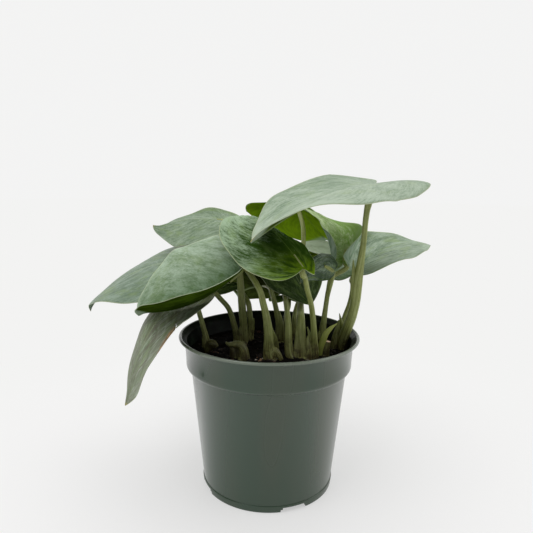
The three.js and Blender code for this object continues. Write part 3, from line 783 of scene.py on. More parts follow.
@dataclass
class Leaf:
    """One heart-shaped blade, with its sizes in millimetres and degrees.

    base is where the stalk joins. heading is the compass of the midrib from +X towards +Y and pitch its
    slope at the base and at the tip; sweep, twist and hook bend it on its way. Each half has a fold, its
    angle at the midrib, and a curl, the further angle that it gains by the margin. furl tightens the curl
    towards the base of a leaf that hasn't opened yet. A low taper draws the tip out long, drip narrows it
    further, and a high spread moves the widest place towards the tip. tear is a torn edge: its side, 1 for
    left, its place on the outline, and the share of the width that is missing there. The silver by the left
    margin, along the middle and by the right margin, and how much more of it there is at the tip, are
    painted
    sheen and shade: more silver where the blade catches the light and less where it lies in shade.
    """

    node: str
    base: Triple
    heading: float
    pitch: tuple[float, float]
    length: float
    width: float
    left: tuple[float, float]
    right: tuple[float, float]
    lobe: float
    finish: LeafFinish
    sweep: float = 0.0
    roll: float = 0.0
    twist: float = 0.0
    hook: float = 0.0
    furl: float = 0.0
    taper: float = 3.5
    spread: float = 1.35
    drip: float = 0.0
    tear: Triple | None = None
    # Painted sheen and shade: the silver by each margin, along the middle and at the tip.
    lit_silver: tuple[float, float, float, float] = (0.5, 0.5, 0.5, 0.0)
    rows: int = 76
    columns: int = 26
    thickness: float = 0.5

    # Where on the outline the lobe ends, and where the midrib, the drip tip and the tip's painted sheen
    # begin. The hook's beginning is a place on the midrib.
    LOBE_END = 0.36
    RIB_START = 0.15
    DRIP_START = 0.76
    TIP_LIT_SILVER_START = 0.35
    HOOK_START = 0.85
    # Where on the outline the widest place is looked for.
    WIDEST_FROM = 0.36
    WIDEST_STEP = 0.01
    WIDEST_TRIES = 17
    # How the rows of points bend on their way out to the margin, and how the veins of the pattern do.
    RIB_RISE = 1.5
    FAN = 1.25
    NO_BEND = 1e-6
    VEIN_LEAN = 0.3
    VEIN_BEND = 1.5
    VEIN_LENGTH = 60
    VEIN_DRIFT = 0.8
    SIDE_SHIFT = 3.0
    # The waves of the margin, the relief of the faces and the rib below, with heights in millimetres.
    MARGIN_WAVE = 0.7
    MARGIN_WAVES = 9
    QUILT = 0.16
    QUILT_ROWS = 13
    QUILT_START = (0.0, 0.15)
    GROOVE = 0.3
    GROOVE_WIDTH = 1.1
    GROOVE_START = (0.1, 0.25)
    RIDGE = 0.9
    RIDGE_WIDTH = 1.0
    RIDGE_TAPER = 0.75
    RIM_INSET = 0.35
    # The torn edge and the dry patch just past it, as shares of the outline and of the way out.
    TEAR_WIDTH = 0.012
    TEAR_ROWS = 5
    DRY_OUT = (0.42, 0.8)
    DRY_START = (-0.005, 0.01)
    DRY_END = (0.04, 0.18)
    # How close two points or the ends of an edge are when they are merged, in millimetres.
    WELD = 0.02
    SLIVER = 0.001

    def __post_init__(self) -> None:
        """Work out how far out the outline stands at its widest, so that it can be scaled to the width."""
        tries = (self.WIDEST_FROM + self.WIDEST_STEP * i for i in range(self.WIDEST_TRIES))
        self.widest = max(self.fullness(t) for t in tries)

    def outline(self, t: float) -> tuple[float, float]:
        """The blade's outline.

        Args:
            t: The way round it, from the notch at 0 to the tip at 1.

        Returns:
            How far along the midrib it is there, and how far out from it.
        """
        along = self.length * ((1 - math.cos(math.pi * t)) / 2) ** self.spread
        along -= self.lobe * math.sin(math.pi * min(t / self.LOBE_END, 1))
        return along, self.width / 2 * self.fullness(t) / self.widest

    def fullness(self, t: float) -> float:
        """How far out the outline stands at t, before it is scaled to the leaf's width."""
        drawn_in = 1 - self.drip * smooth_step(self.DRIP_START, 1.0, t)
        return math.sin(math.pi * t) * (1 - t ** self.taper) * drawn_in

    def midrib(self, steps: int = 80) -> list[Frame]:
        """The midrib as a chain of frames.

        Args:
            steps: The number of stretches between them.

        Returns:
            The frames, from the base to the tip.
        """
        frames: list[Frame] = []
        place = Vector(self.base)
        for i in range(steps + 1):
            u = i / steps
            pitch = math.radians(lerp(*self.pitch, u) + self.hook * ramp(self.HOOK_START, u) ** 2)
            heading = math.radians(self.heading + self.sweep * u)
            level = math.cos(pitch)
            forward = Vector((level * math.cos(heading), level * math.sin(heading), math.sin(pitch)))
            left = Vector((-math.sin(heading), math.cos(heading), 0))
            left.rotate(Matrix.Rotation(math.radians(self.roll + self.twist * u), 3, forward))
            if frames:
                place = place + (forward + frames[-1].forward) * (self.length / steps / 2)
            frames.append(Frame(place, forward, left, forward.cross(left)))
        return frames

    def frame_at(self, frames: list[Frame], along: float) -> Frame:
        """The midrib's frame at a distance from the base, run on straight behind it.

        Args:
            frames: The midrib.
            along: The distance in millimetres, below 0 behind the base.

        Returns:
            The frame there.
        """
        position = min(max(along / self.length, 0.0), 1.0) * (len(frames) - 1)
        i = min(int(position), len(frames) - 2)
        share = position - i
        mixed = Frame(*(
            getattr(frames[i], name).lerp(getattr(frames[i + 1], name), share)
            for name in ("place", "forward", "left", "up")
        ))
        mixed.place = mixed.place + mixed.forward * min(along, 0.0)
        return mixed

    def vein_way(self, t: float, share: float) -> float:
        """Which vein a point lies on, as the place on the outline that the vein starts from."""
        return t - self.VEIN_LEAN * share ** self.VEIN_BEND

    def point(
        self, frames: list[Frame], side: int, t: float, share: float,
    ) -> tuple[Vector, Vector, Vector]:
        """One point of the blade's middle surface.

        Args:
            frames: The midrib.
            side: 1 on the left of the midrib, -1 on its right.
            t: The way along the outline, 0 at the notch and 1 at the tip.
            share: The way out from the midrib to the margin.

        Returns:
            The point in millimetres, its place across the veins and along them, and its place on the leaf.
        """
        edge_along, out = self.outline(t)
        rib = self.length * ramp(self.RIB_START, t) ** self.RIB_RISE
        along = rib + (edge_along - rib) * share ** self.FAN
        here = self.frame_at(frames, along)
        fold, curl = (math.radians(angle) for angle in (self.left if side > 0 else self.right))
        bend = curl / (self.width / 2) * (1 + self.furl * (1 - ramp(0, along / self.length)) ** 2)
        reach = out * share
        wave = self.MARGIN_WAVE * math.sin(self.MARGIN_WAVES * math.pi * t + side)
        wave = wave * share ** 3 * math.sin(math.pi * t)
        if abs(bend) < self.NO_BEND:
            across = reach * math.cos(fold)
            rise = reach * math.sin(fold)
        else:
            across = (math.sin(fold + bend * reach) - math.sin(fold)) / bend
            rise = (math.cos(fold) - math.cos(fold + bend * reach)) / bend
        place = here.place + here.left * (side * across) + here.up * (rise + wave)
        vein = Vector((
            self.vein_way(t, share) * self.length / self.VEIN_LENGTH,
            share + self.VEIN_DRIFT * t,
            side * self.SIDE_SHIFT + self.finish.seed,
        ))
        # The third value of the place is the painted sheen and shade of the silver.
        return place, vein, Vector((along / self.length, side * share, self.silver(t, side * share)))

    def silver(self, t: float, out: float) -> float:
        """The painted sheen and shade of the silver on the upper face: more where the blade catches the
        light, less where it lies in shade.

        Args:
            t: The way along the outline, 0 at the notch and 1 at the tip.
            out: The way out to the margin, 1 at the left one and -1 at the right one.

        Returns:
            How much silver there is, about 1 where it covers the green.
        """
        by_left, middle, by_right, at_tip = self.lit_silver
        sideways = lerp(middle, by_left, out) if out > 0 else lerp(middle, by_right, -out)
        return sideways + at_tip * smooth_step(self.TIP_LIT_SILVER_START, 1.0, t)

    def relief(self, t: float, share: float) -> float:
        """The quilting between the veins and the groove over the midrib.

        Args:
            t: The way along the outline, 0 at the notch and 1 at the tip.
            share: The way out from the midrib to the margin.

        Returns:
            How far the faces are lifted there, in millimetres.
        """
        fade = math.sin(math.pi * min(max(t, 0.0), 1.0)) ** 0.5 * (1 - share ** 6)
        fade *= smooth_step(*self.QUILT_START, share)
        quilt = self.QUILT * math.cos(self.vein_way(t, share) * TURN * self.QUILT_ROWS) * fade
        dip = self.GROOVE * math.exp(-((share * self.width / 2) / self.GROOVE_WIDTH) ** 2)
        return quilt - dip * smooth_step(*self.GROOVE_START, t)

    def torn(self, side: int) -> bool:
        """Whether this half of the blade has the torn edge."""
        return self.tear is not None and side == int(self.tear[0])

    def notched(self, t: float, side: int) -> float:
        """The share of the width that a torn edge leaves.

        Args:
            t: The way along the outline, 0 at the notch and 1 at the tip.
            side: 1 on the left of the midrib, -1 on its right.

        Returns:
            The share, 1 where nothing is missing.
        """
        if not self.torn(side):
            return 1.0
        _, middle, depth = self.tear
        return 1 - depth * max(0.0, 1 - abs(t - middle) / self.TEAR_WIDTH)

    def dried(self, t: float, side: int, share: float) -> float:
        """How dry and tan the blade is, just past a torn edge.

        Args:
            t: The way along the outline, 0 at the notch and 1 at the tip.
            side: 1 on the left of the midrib, -1 on its right.
            share: The way out from the midrib to the margin.

        Returns:
            How dry it is there, from 0 to 1.
        """
        if not self.torn(side):
            return 0.0
        past = t - self.tear[1]
        outer = smooth_step(*self.DRY_OUT, share) * smooth_step(*self.DRY_START, past)
        return outer * (1 - smooth_step(*self.DRY_END, past))

    def stations(self) -> list[float]:
        """Where the rows of the blade's grid lie, closer together by a torn edge.

        Returns:
            The places on the outline, in order.
        """
        rows = {i / self.rows for i in range(self.rows + 1)}
        if self.tear is not None:
            steps = range(-self.TEAR_ROWS, self.TEAR_ROWS + 1)
            rows.update(self.tear[1] + self.TEAR_WIDTH * i / self.TEAR_ROWS for i in steps)
        return sorted(rows)

    def sheet(self) -> bmesh.types.BMesh:
        """The blade's middle surface as one sheet.

        Returns:
            The sheet, in millimetres, with its pattern, relief and wear as layers of its vertices.
        """
        frames = self.midrib()
        sheet = bmesh.new()
        vein_layer = sheet.verts.layers.float_vector.new("vein")
        place_layer = sheet.verts.layers.float_vector.new("place")
        lift_layer = sheet.verts.layers.float.new("lift")
        wear_layer = sheet.verts.layers.float.new("wear")
        for side in (1, -1):
            grid = []
            for t in self.stations():
                full = self.notched(t, side)
                row = []
                for k in range(self.columns + 1):
                    share = k / self.columns * full
                    place, vein, spot = self.point(frames, side, t, share)
                    vert = sheet.verts.new(place)
                    vert[vein_layer] = vein
                    vert[place_layer] = spot
                    vert[lift_layer] = self.relief(t, share)
                    vert[wear_layer] = self.dried(t, side, share)
                    row.append(vert)
                grid.append(row)
            for low, high in zip(grid, grid[1:]):
                for a, b, c, d in zip(low, low[1:], high[1:], high):
                    sheet.faces.new((a, d, c, b) if side > 0 else (a, b, c, d))
        bmesh.ops.remove_doubles(sheet, verts=sheet.verts, dist=self.WELD)
        bmesh.ops.dissolve_degenerate(sheet, edges=sheet.edges, dist=self.SLIVER)
        sheet.normal_update()
        return sheet

    def build(self) -> bpy.types.Object:
        """The blade with its two faces, its rim and its midrib, dressed in its finish.

        Returns:
            The finished piece.
        """
        sheet = self.sheet()
        vein_layer = sheet.verts.layers.float_vector["vein"]
        place_layer = sheet.verts.layers.float_vector["place"]
        lift_layer = sheet.verts.layers.float["lift"]
        wear_layer = sheet.verts.layers.float["wear"]
        half = self.thickness / 2
        blade = bmesh.new()
        layers = [blade.verts.layers.float_vector.new(name) for name in ("vein", "place")]
        wear = blade.verts.layers.float.new("wear")
        faces_of = {}
        for vert in sheet.verts:
            along, out, _ = vert[place_layer]
            ridge = self.RIDGE * math.exp(-(abs(out) * self.width / 2 / self.RIDGE_WIDTH) ** 2)
            ridge *= 1 - self.RIDGE_TAPER * max(along, 0.0)
            inset = self.RIM_INSET if vert.is_boundary else 1.0
            top = vert.co + vert.normal * (half * inset + vert[lift_layer])
            low = vert.co - vert.normal * (half * inset + ridge - vert[lift_layer])
            pair = [blade.verts.new(top * MM), blade.verts.new(low * MM)]
            for made in pair:
                made[layers[0]] = vert[vein_layer]
                made[layers[1]] = vert[place_layer]
                made[wear] = vert[wear_layer]
            faces_of[vert] = pair
        for face in sheet.faces:
            upper = blade.faces.new([faces_of[v][0] for v in face.verts])
            upper.material_index = 0
            under = blade.faces.new([faces_of[v][1] for v in reversed(face.verts)])
            under.material_index = 1
        for edge in sheet.edges:
            if edge.is_boundary:
                loop = edge.link_loops[0]
                a, b = loop.vert, loop.link_loop_next.vert
                wall = blade.faces.new([faces_of[a][0], faces_of[a][1], faces_of[b][1], faces_of[b][0]])
                wall.material_index = 0
        sheet.free()
        blade.normal_update()
        piece = finish_mesh(blade, f"{self.node}_blade")
        piece.data.materials.append(self.finish.upper())
        piece.data.materials.append(self.finish.lower())
        seat(piece, Slot.LEAF, self.node)
        return piece


@dataclass
class Tube:
    """A closed tapered tube through a route of x, y, z and radius in millimetres.

    flat squeezes its section, groove sinks a furrow into its front, ribs is how uneven its skin is, and
    seed sets the places of the ribs. pale, aged and cut give its tone: young and pale, dark with age, or
    cut off dry.
    """

    route: Route
    sides: int = 20
    steps: int = 8
    flat: float = 1.0
    groove: float = 0.0
    ribs: float = 0.02
    seed: int = 0
    pale: float = 0.0
    aged: float = 0.0
    cut: bool = False

    THINNEST = 0.15
    FURROW = 6
    RIBS_ROUND = 3
    RIB_LENGTH = 9
    LINE_LENGTH = 14

    def curve(self, u: float) -> tuple[Vector, float]:
        """The smooth curve through the route's points.

        Args:
            u: The way along it, 0 at the start of the route and 1 at its end.

        Returns:
            The centre and the radius there.
        """
        spans = len(self.route) - 1
        i = min(int(u * spans), spans - 1)
        share = u * spans - i
        knots = [self.route[min(max(k, 0), spans)] for k in (i - 1, i, i + 1, i + 2)]
        values = []
        for axis in range(4):
            a, b, c, d = (knot[axis] for knot in knots)
            values.append(0.5 * (
                2 * b + (c - a) * share + (2 * a - 5 * b + 4 * c - d) * share ** 2
                + (3 * b - a - 3 * c + d) * share ** 3
            ))
        return Vector(values[:3]), max(values[3], self.THINNEST)

    def swell(self, angle: float, facing: float, length: float) -> float:
        """How far the skin stands out or in.

        Args:
            angle: The way round the tube.
            facing: How squarely the skin faces the front there.
            length: The way along the tube in millimetres.

        Returns:
            The radius there as a share of the plain one.
        """
        spot = Vector((
            self.RIBS_ROUND * math.cos(angle),
            self.RIBS_ROUND * math.sin(angle),
            length / self.RIB_LENGTH + self.seed,
        ))
        return 1 - self.groove * facing ** self.FURROW + self.ribs * noise.noise(spot)

    def add_to(self, mesh: bmesh.types.BMesh) -> None:
        """Add the tube's closed skin to a mesh.

        Args:
            mesh: The mesh.
        """
        layer, tone = (
            mesh.verts.layers.float_vector.get(name) or mesh.verts.layers.float_vector.new(name)
            for name in ("stalk", "tone")
        )
        count = (len(self.route) - 1) * self.steps
        rings = []
        length = 0.0
        before = None
        across = Vector((1, 0, 0))
        for i in range(count + 1):
            u = i / count
            centre, radius = self.curve(u)
            ahead, _ = self.curve(min(u + 0.5 / count, 1.0))
            behind, _ = self.curve(max(u - 0.5 / count, 0.0))
            forward = (ahead - behind).normalized()
            across = (across - forward * across.dot(forward)).normalized()
            thin = forward.cross(across)
            if before is not None:
                length += (centre - before).length
            before = centre
            ring = []
            for k in range(self.sides):
                angle = TURN * k / self.sides
                facing = max(0.0, -(across * math.cos(angle) + thin * math.sin(angle)).y)
                offset = across * math.cos(angle) + thin * (self.flat * math.sin(angle))
                vert = mesh.verts.new((centre + offset * (radius * self.swell(angle, facing, length))) * MM)
                spot = Vector((math.cos(angle) + self.seed, math.sin(angle), length / self.LINE_LENGTH))
                vert[layer] = spot
                vert[tone] = Vector((self.pale, 0, self.aged))
                ring.append(vert)
            rings.append(ring)
        stitch(mesh, rings, self.sides)
        mesh.faces.new(list(reversed(rings[0])))
        end = rings[-1]
        if self.cut:
            end = [mesh.verts.new(vert.co) for vert in rings[-1]]
            for vert in end:
                vert[tone] = Vector((0, 1, 0))
        mesh.faces.new(end)


@dataclass
class Stalk:
    """A stalk that runs on into its blade, from behind the blade's base or, if tucked, from under it."""

    blade: str
    route: Route
    groove: float = 0.0
    tucked: bool = False


@dataclass
class Bract:
    """A pointed sheath or bud scale, pale if young and dark if aged, or a stalk's stump if cut."""

    route: Route
    flat: float = 1.0
    pale: float = 0.0
    aged: float = 0.0
    cut: bool = False


@dataclass
class Stem:
    """One stem: its root in the soil with the low crown on it, its stalks and its sheaths.

    BEHIND and UNDER give the last points of a stalk as the way along the midrib, the way below it and the
    radius.
    """

    node: str
    root: tuple[float, float]
    girth: float
    stalks: list[Stalk] = field(default_factory=list)
    bracts: list[Bract] = field(default_factory=list)

    ROOT_HEIGHT = 76.3
    CROWN_HEIGHT = 84.0
    CROWN_RIBS = 0.08
    STALK_RIBS = 0.05
    BRACT_RIBS = 0.06
    BEHIND = (-2.5, 3.0, 1.55)
    UNDER = ((1.0, 1.5, 1.5), (5.0, 0.9, 1.1), (9.0, 0.7, 0.7))

    def stalk_top(self, stalk: Stalk, leaf: Leaf) -> Route:
        """The stretch of a stalk that bends in under its blade and runs out along the midrib.

        Args:
            stalk: The stalk.
            leaf: Its blade.

        Returns:
            The last points of the stalk's route.
        """
        first = leaf.midrib()[0]
        steps = self.UNDER if stalk.tucked else (self.BEHIND, *self.UNDER)
        return [
            (*(first.place + first.forward * along - first.up * below), radius)
            for along, below, radius in steps
        ]

    def build(self, leaves: dict[str, Leaf], finish: bpy.types.Material) -> bpy.types.Object:
        """The whole stem as one piece.

        Args:
            leaves: The blades by name, for the tops of the stalks.
            finish: The stalks' material.

        Returns:
            The finished piece.
        """
        mesh = bmesh.new()
        x, y = self.root
        crown = [
            (x, y, self.ROOT_HEIGHT, self.girth), (x, y, self.CROWN_HEIGHT - 4, self.girth),
            (x, y, self.CROWN_HEIGHT - 1, self.girth * 0.85), (x, y, self.CROWN_HEIGHT, self.girth * 0.4),
        ]
        Tube(crown, ribs=self.CROWN_RIBS).add_to(mesh)
        for number, stalk in enumerate(self.stalks):
            route = [*stalk.route, *self.stalk_top(stalk, leaves[stalk.blade])]
            Tube(route, groove=stalk.groove, ribs=self.STALK_RIBS, seed=number * 5).add_to(mesh)
        for number, bract in enumerate(self.bracts):
            Tube(
                bract.route, flat=bract.flat, ribs=self.BRACT_RIBS, seed=number * 7 + 3,
                pale=bract.pale, aged=bract.aged, cut=bract.cut,
            ).add_to(mesh)
        piece = finish_mesh(mesh, f"{self.node}_fleshy")
        piece.data.materials.append(finish)
        seat(piece, Slot.STALK, self.node)
        return piece


@dataclass
class Pot:
    """The nursery pot: a thin tapered cup with a rolled lip, a deep band and drain slots round its foot."""

    height: float = 93.3
    lip_radius: float = 54.0
    lip_bead: float = 1.0
    base_radius: float = 39.6
    shoulder_height: float = 73.0
    shoulder_radius: float = 46.6
    shoulder_round: tuple[float, float] = (2.9, 3.3)
    band_radius: float = 50.0
    band_foot: float = 79.0
    band_top: float = 90.9
    wall: float = 1.2
    floor: float = 1.6
    recess: float = 0.5
    slots: int = 4
    slot_angle: float = -67.0
    slot_width: float = 16.0
    slot_height: float = 3.0
    slot_reach: float = 9.0
    slot_round: float = 1.2
    crease: float = 35.0
    segments: int = 160
    finish: PotFinish = PotFinish()

    def outside(self) -> list[tuple[float, float]]:
        """The turned section's outer side, from the foot up and over the lip.

        Returns:
            Its points as radius and height.
        """
        bead = self.lip_bead
        lip = [
            (self.lip_radius - bead + bead * math.cos(angle), self.height - bead + bead * math.sin(angle))
            for angle in (math.radians(-80 + 15 * i) for i in range(13))
        ]
        out, up = self.shoulder_round
        shoulder = [
            (
                self.shoulder_radius + 0.2 + out * math.sin(angle),
                self.shoulder_height + 3.4 - up * math.cos(angle),
            )
            for angle in (math.radians(15 + 7.5 * i) for i in range(11))
        ]
        return [
            (self.base_radius - 2.6, self.recess),
            (self.base_radius - 2.2, 0.3),
            (self.base_radius - 1.9, 0.0),
            (self.base_radius - 0.5, 0.0),
            (self.base_radius + 0.1, 0.5),
            (self.base_radius + 0.5, 3.9),
            (self.base_radius + 0.42, 4.15),
            (self.base_radius + 0.08, 4.3),
            (self.base_radius + 0.12, 5.0),
            (self.shoulder_radius + 0.15, self.shoulder_height - 0.4),
            (self.shoulder_radius + 0.4, self.shoulder_height - 0.1),
            *shoulder,
            (self.band_radius - 0.25, self.band_foot),
            (self.band_radius + 0.4, self.band_top - 0.5),
            (self.band_radius + 0.7, self.band_top - 0.1),
            (self.lip_radius - 1.6, self.band_top + 0.25),
            *lip,
        ]

    def inside(self) -> list[tuple[float, float]]:
        """The turned section's inner side, from the lip down to the floor.

        Returns:
            Its points as radius and height.
        """
        return [
            (self.lip_radius - 1.8, self.height - 0.4),
            (self.lip_radius - 2.4, self.height - 1.5),
            (self.band_radius + 0.5 - self.wall, self.band_top - 0.6),
            (self.band_radius - 0.4 - self.wall, self.band_foot),
            (self.band_radius - 1.3 - self.wall, self.shoulder_height + 3.4),
            (self.shoulder_radius - self.wall, self.shoulder_height + 0.6),
            (self.base_radius + 0.2 - self.wall, self.recess + self.floor),
        ]

    def build(self) -> bpy.types.Object:
        """The pot, turned and then cut for its drain slots.

        Returns:
            The finished piece.
        """
        mesh = bmesh.new()
        outside = self.outside()
        profile = [(0.0, self.recess), *outside, *self.inside(), (0.0, self.recess + self.floor)]
        rings = [ring(mesh, radius, self.segments, height) for radius, height in profile]
        for number, band in enumerate(stitch(mesh, rings, self.segments)):
            for face in band:
                face.material_index = int(number > len(outside))
        bmesh.ops.recalc_face_normals(mesh, faces=mesh.faces)
        pot = finish_mesh(mesh, "pot_shell")
        pot.data.materials.append(self.finish.outer())
        pot.data.materials.append(self.finish.inner())
        self.cut_slots(pot)
        pot.data.set_sharp_from_angle(angle=math.radians(self.crease))
        seat(pot, Slot.POT, "pot")
        return pot

    def cut_slots(self, pot: bpy.types.Object) -> None:
        """Cut the drain slots out of the pot's foot.

        Args:
            pot: The turned pot.
        """
        cutter = bmesh.new()
        for i in range(self.slots):
            angle = math.radians(self.slot_angle + i * 360 / self.slots - 90)
            matrix = Matrix.Rotation(angle, 4, "Z") @ Matrix.Translation((self.base_radius * MM, 0, 0))
            size = (self.slot_reach * 2 * MM, self.slot_width * MM, self.slot_height * 2 * MM, 1)
            made = bmesh.ops.create_cube(cutter, size=1.0, matrix=matrix @ Matrix.Diagonal(size))
            edges = {edge for vert in made["verts"] for edge in vert.link_edges}
            tops = [edge for edge in edges if all(vert.co.z > 0 for vert in edge.verts)]
            bmesh.ops.bevel(cutter, geom=tops, offset=self.slot_round * MM, segments=4, affect="EDGES")
        knife = finish_mesh(cutter, "slot_cutter")
        cut = pot.modifiers.new("slots", "BOOLEAN")
        cut.operation = "DIFFERENCE"
        cut.solver = "EXACT"
        cut.object = knife
        bpy.context.view_layer.update()
        cut_mesh = bpy.data.meshes.new_from_object(pot.evaluated_get(bpy.context.evaluated_depsgraph_get()))
        pot.modifiers.remove(cut)
        pot.data = cut_mesh
        bpy.data.objects.remove(knife)


@dataclass
class Soil:
    """The potting mix: a lumpy top with bits of bark, grit and fibre lying in it.

    kinds are the finishes of the bits and shares how common each is. chip_size is half the length of the
    smallest bit and how much longer one can be. placed are the bits that lie in front, as x, y, size and
    kind. neck is the side below the rim, as radius and height.
    """

    level: float = 82.0
    mound: float = 1.0
    bump: float = 0.7
    grain: float = 0.8
    grain_size: float = 5.5
    rim: float = 48.1
    neck: tuple[tuple[float, float], ...] = ((45.0, 73.6), (46.9, 76.4))
    foot: float = 38.3
    underside: float = 2.4
    rings: int = 70
    segments: int = 150
    chips: int = 300
    chip_margin: float = 2.5
    chip_size: tuple[float, float] = (0.7, 1.6)
    seed: int = 829
    finish: SoilFinish = SoilFinish()
    kinds: tuple[ChipFinish, ...] = (
        ChipFinish("bark_dark", srgb(20, 14, 10), srgb(52, 38, 28)),
        ChipFinish("bark_tan", srgb(110, 80, 56), srgb(176, 140, 108)),
        ChipFinish("bark_red", srgb(46, 26, 18), srgb(84, 50, 34)),
        ChipFinish("grit_pale", srgb(150, 142, 128), srgb(206, 198, 184)),
    )
    shares: tuple[float, ...] = (0.86, 0.02, 0.1, 0.02)
    placed: tuple[tuple[float, float, float, int], ...] = (
        (-6, -15.1, 1.5, 1), (-4.5, -19.3, 1.9, 1), (-3.1, -15.8, 1.3, 3), (-1.9, -18.3, 1, 1),
        (-7.4, -18.6, 1.1, 3), (-5, -22.6, 1.2, 1), (-0.5, -19.9, 1, 2),
    )

    # A bit's lean in radians, its rise over the soil, width and depth as shares of half its length, and how
    # uneven it is. Of two numbers the first is the least, and the second is what chance adds.
    CHIP_LEAN = 0.9
    CHIP_RISE = 0.12
    CHIP_WIDTH = (0.35, 0.4)
    CHIP_DEPTH = (0.25, 0.3)
    CHIP_UNEVEN = (0.72, 0.5)

    def surface(self, x: float, y: float) -> float:
        """The height of the soil's top, in low mounds under a fine grain.

        Args:
            x: The place to the right, in millimetres.
            y: The place to the back, in millimetres.

        Returns:
            The height there, in millimetres.
        """
        reach = math.hypot(x, y) / self.rim
        lumps = math.sin(0.31 * x + 1.7) * math.cos(0.27 * y - 0.4)
        lumps += 0.7 * math.sin(0.53 * y + 0.19 * x + 2.1)
        grain = noise.fractal(Vector((x, y, 3.0)) / self.grain_size, 0.8, 2.1, 4)
        mound = self.mound * (1 - reach * reach)
        height = self.level + mound + self.bump * lumps * max(0.0, 1 - reach ** 6)
        return height + self.grain * grain

    def build(self) -> bpy.types.Object:
        """The soil's own body.

        Returns:
            The finished piece.
        """
        mesh = bmesh.new()
        profile = [(0.0, self.underside), (self.foot, self.underside), *self.neck]
        rings = [ring(mesh, radius, self.segments, height) for radius, height in profile]
        reaches = (self.rim * (i / self.rings) for i in range(self.rings, -1, -1))
        rings += [ring(mesh, radius, self.segments, self.surface) for radius in reaches]
        stitch(mesh, rings, self.segments)
        bmesh.ops.recalc_face_normals(mesh, faces=mesh.faces)
        soil = finish_mesh(mesh, "soil_mix_body")
        soil.data.materials.append(self.finish.material())
        seat(soil, Slot.SOIL, "soil")
        return soil

    def scatter(self) -> bpy.types.Object:
        """The bits that lie in the mix, each sunk a little into it.

        Returns:
            The finished piece.
        """
        draw = np.random.default_rng(self.seed)
        mesh = bmesh.new()
        spots = list(self.placed)
        smallest, more = self.chip_size
        for _ in range(self.chips):
            radius = (self.rim - self.chip_margin) * math.sqrt(draw.random())
            angle = TURN * draw.random()
            kind = int(draw.choice(len(self.kinds), p=self.shares))
            size = smallest + more * draw.random() ** 2
            spots.append((radius * math.cos(angle), radius * math.sin(angle), size, kind))
        for x, y, size, kind in spots:
            self.chip(mesh, draw, Vector((x, y, self.surface(x, y))), size, kind)
        piece = finish_mesh(mesh, "soil_bits", smooth=False)
        for kind in self.kinds:
            piece.data.materials.append(kind.material())
        seat(piece, Slot.SOIL)
        return piece

    def chip(
        self, mesh: bmesh.types.BMesh, draw: np.random.Generator, place: Vector, size: float, kind: int,
    ) -> None:
        """One rough bit.

        Args:
            mesh: The mesh that it goes into.
            draw: The source of its random shape.
            place: Its place on the soil, in millimetres.
            size: Half its length, in millimetres.
            kind: The number of its finish.
        """
        turn = Matrix.Rotation(TURN * draw.random(), 4, "Z")
        spin = turn @ Matrix.Rotation(self.CHIP_LEAN * (draw.random() - 0.5), 4, "X")
        width = size * drawn(draw, *self.CHIP_WIDTH)
        depth = size * drawn(draw, *self.CHIP_DEPTH)
        shape = Matrix.Diagonal((size, width, depth, 1))
        where = Matrix.Translation(place + Vector((0, 0, size * self.CHIP_RISE)))
        made = bmesh.ops.create_icosphere(mesh, subdivisions=1, radius=1.0)
        for vert in made["verts"]:
            vert.co = (where @ spin @ shape @ (vert.co * drawn(draw, *self.CHIP_UNEVEN))) * MM
        for face in {f for v in made["verts"] for f in v.link_faces}:
            face.material_index = kind


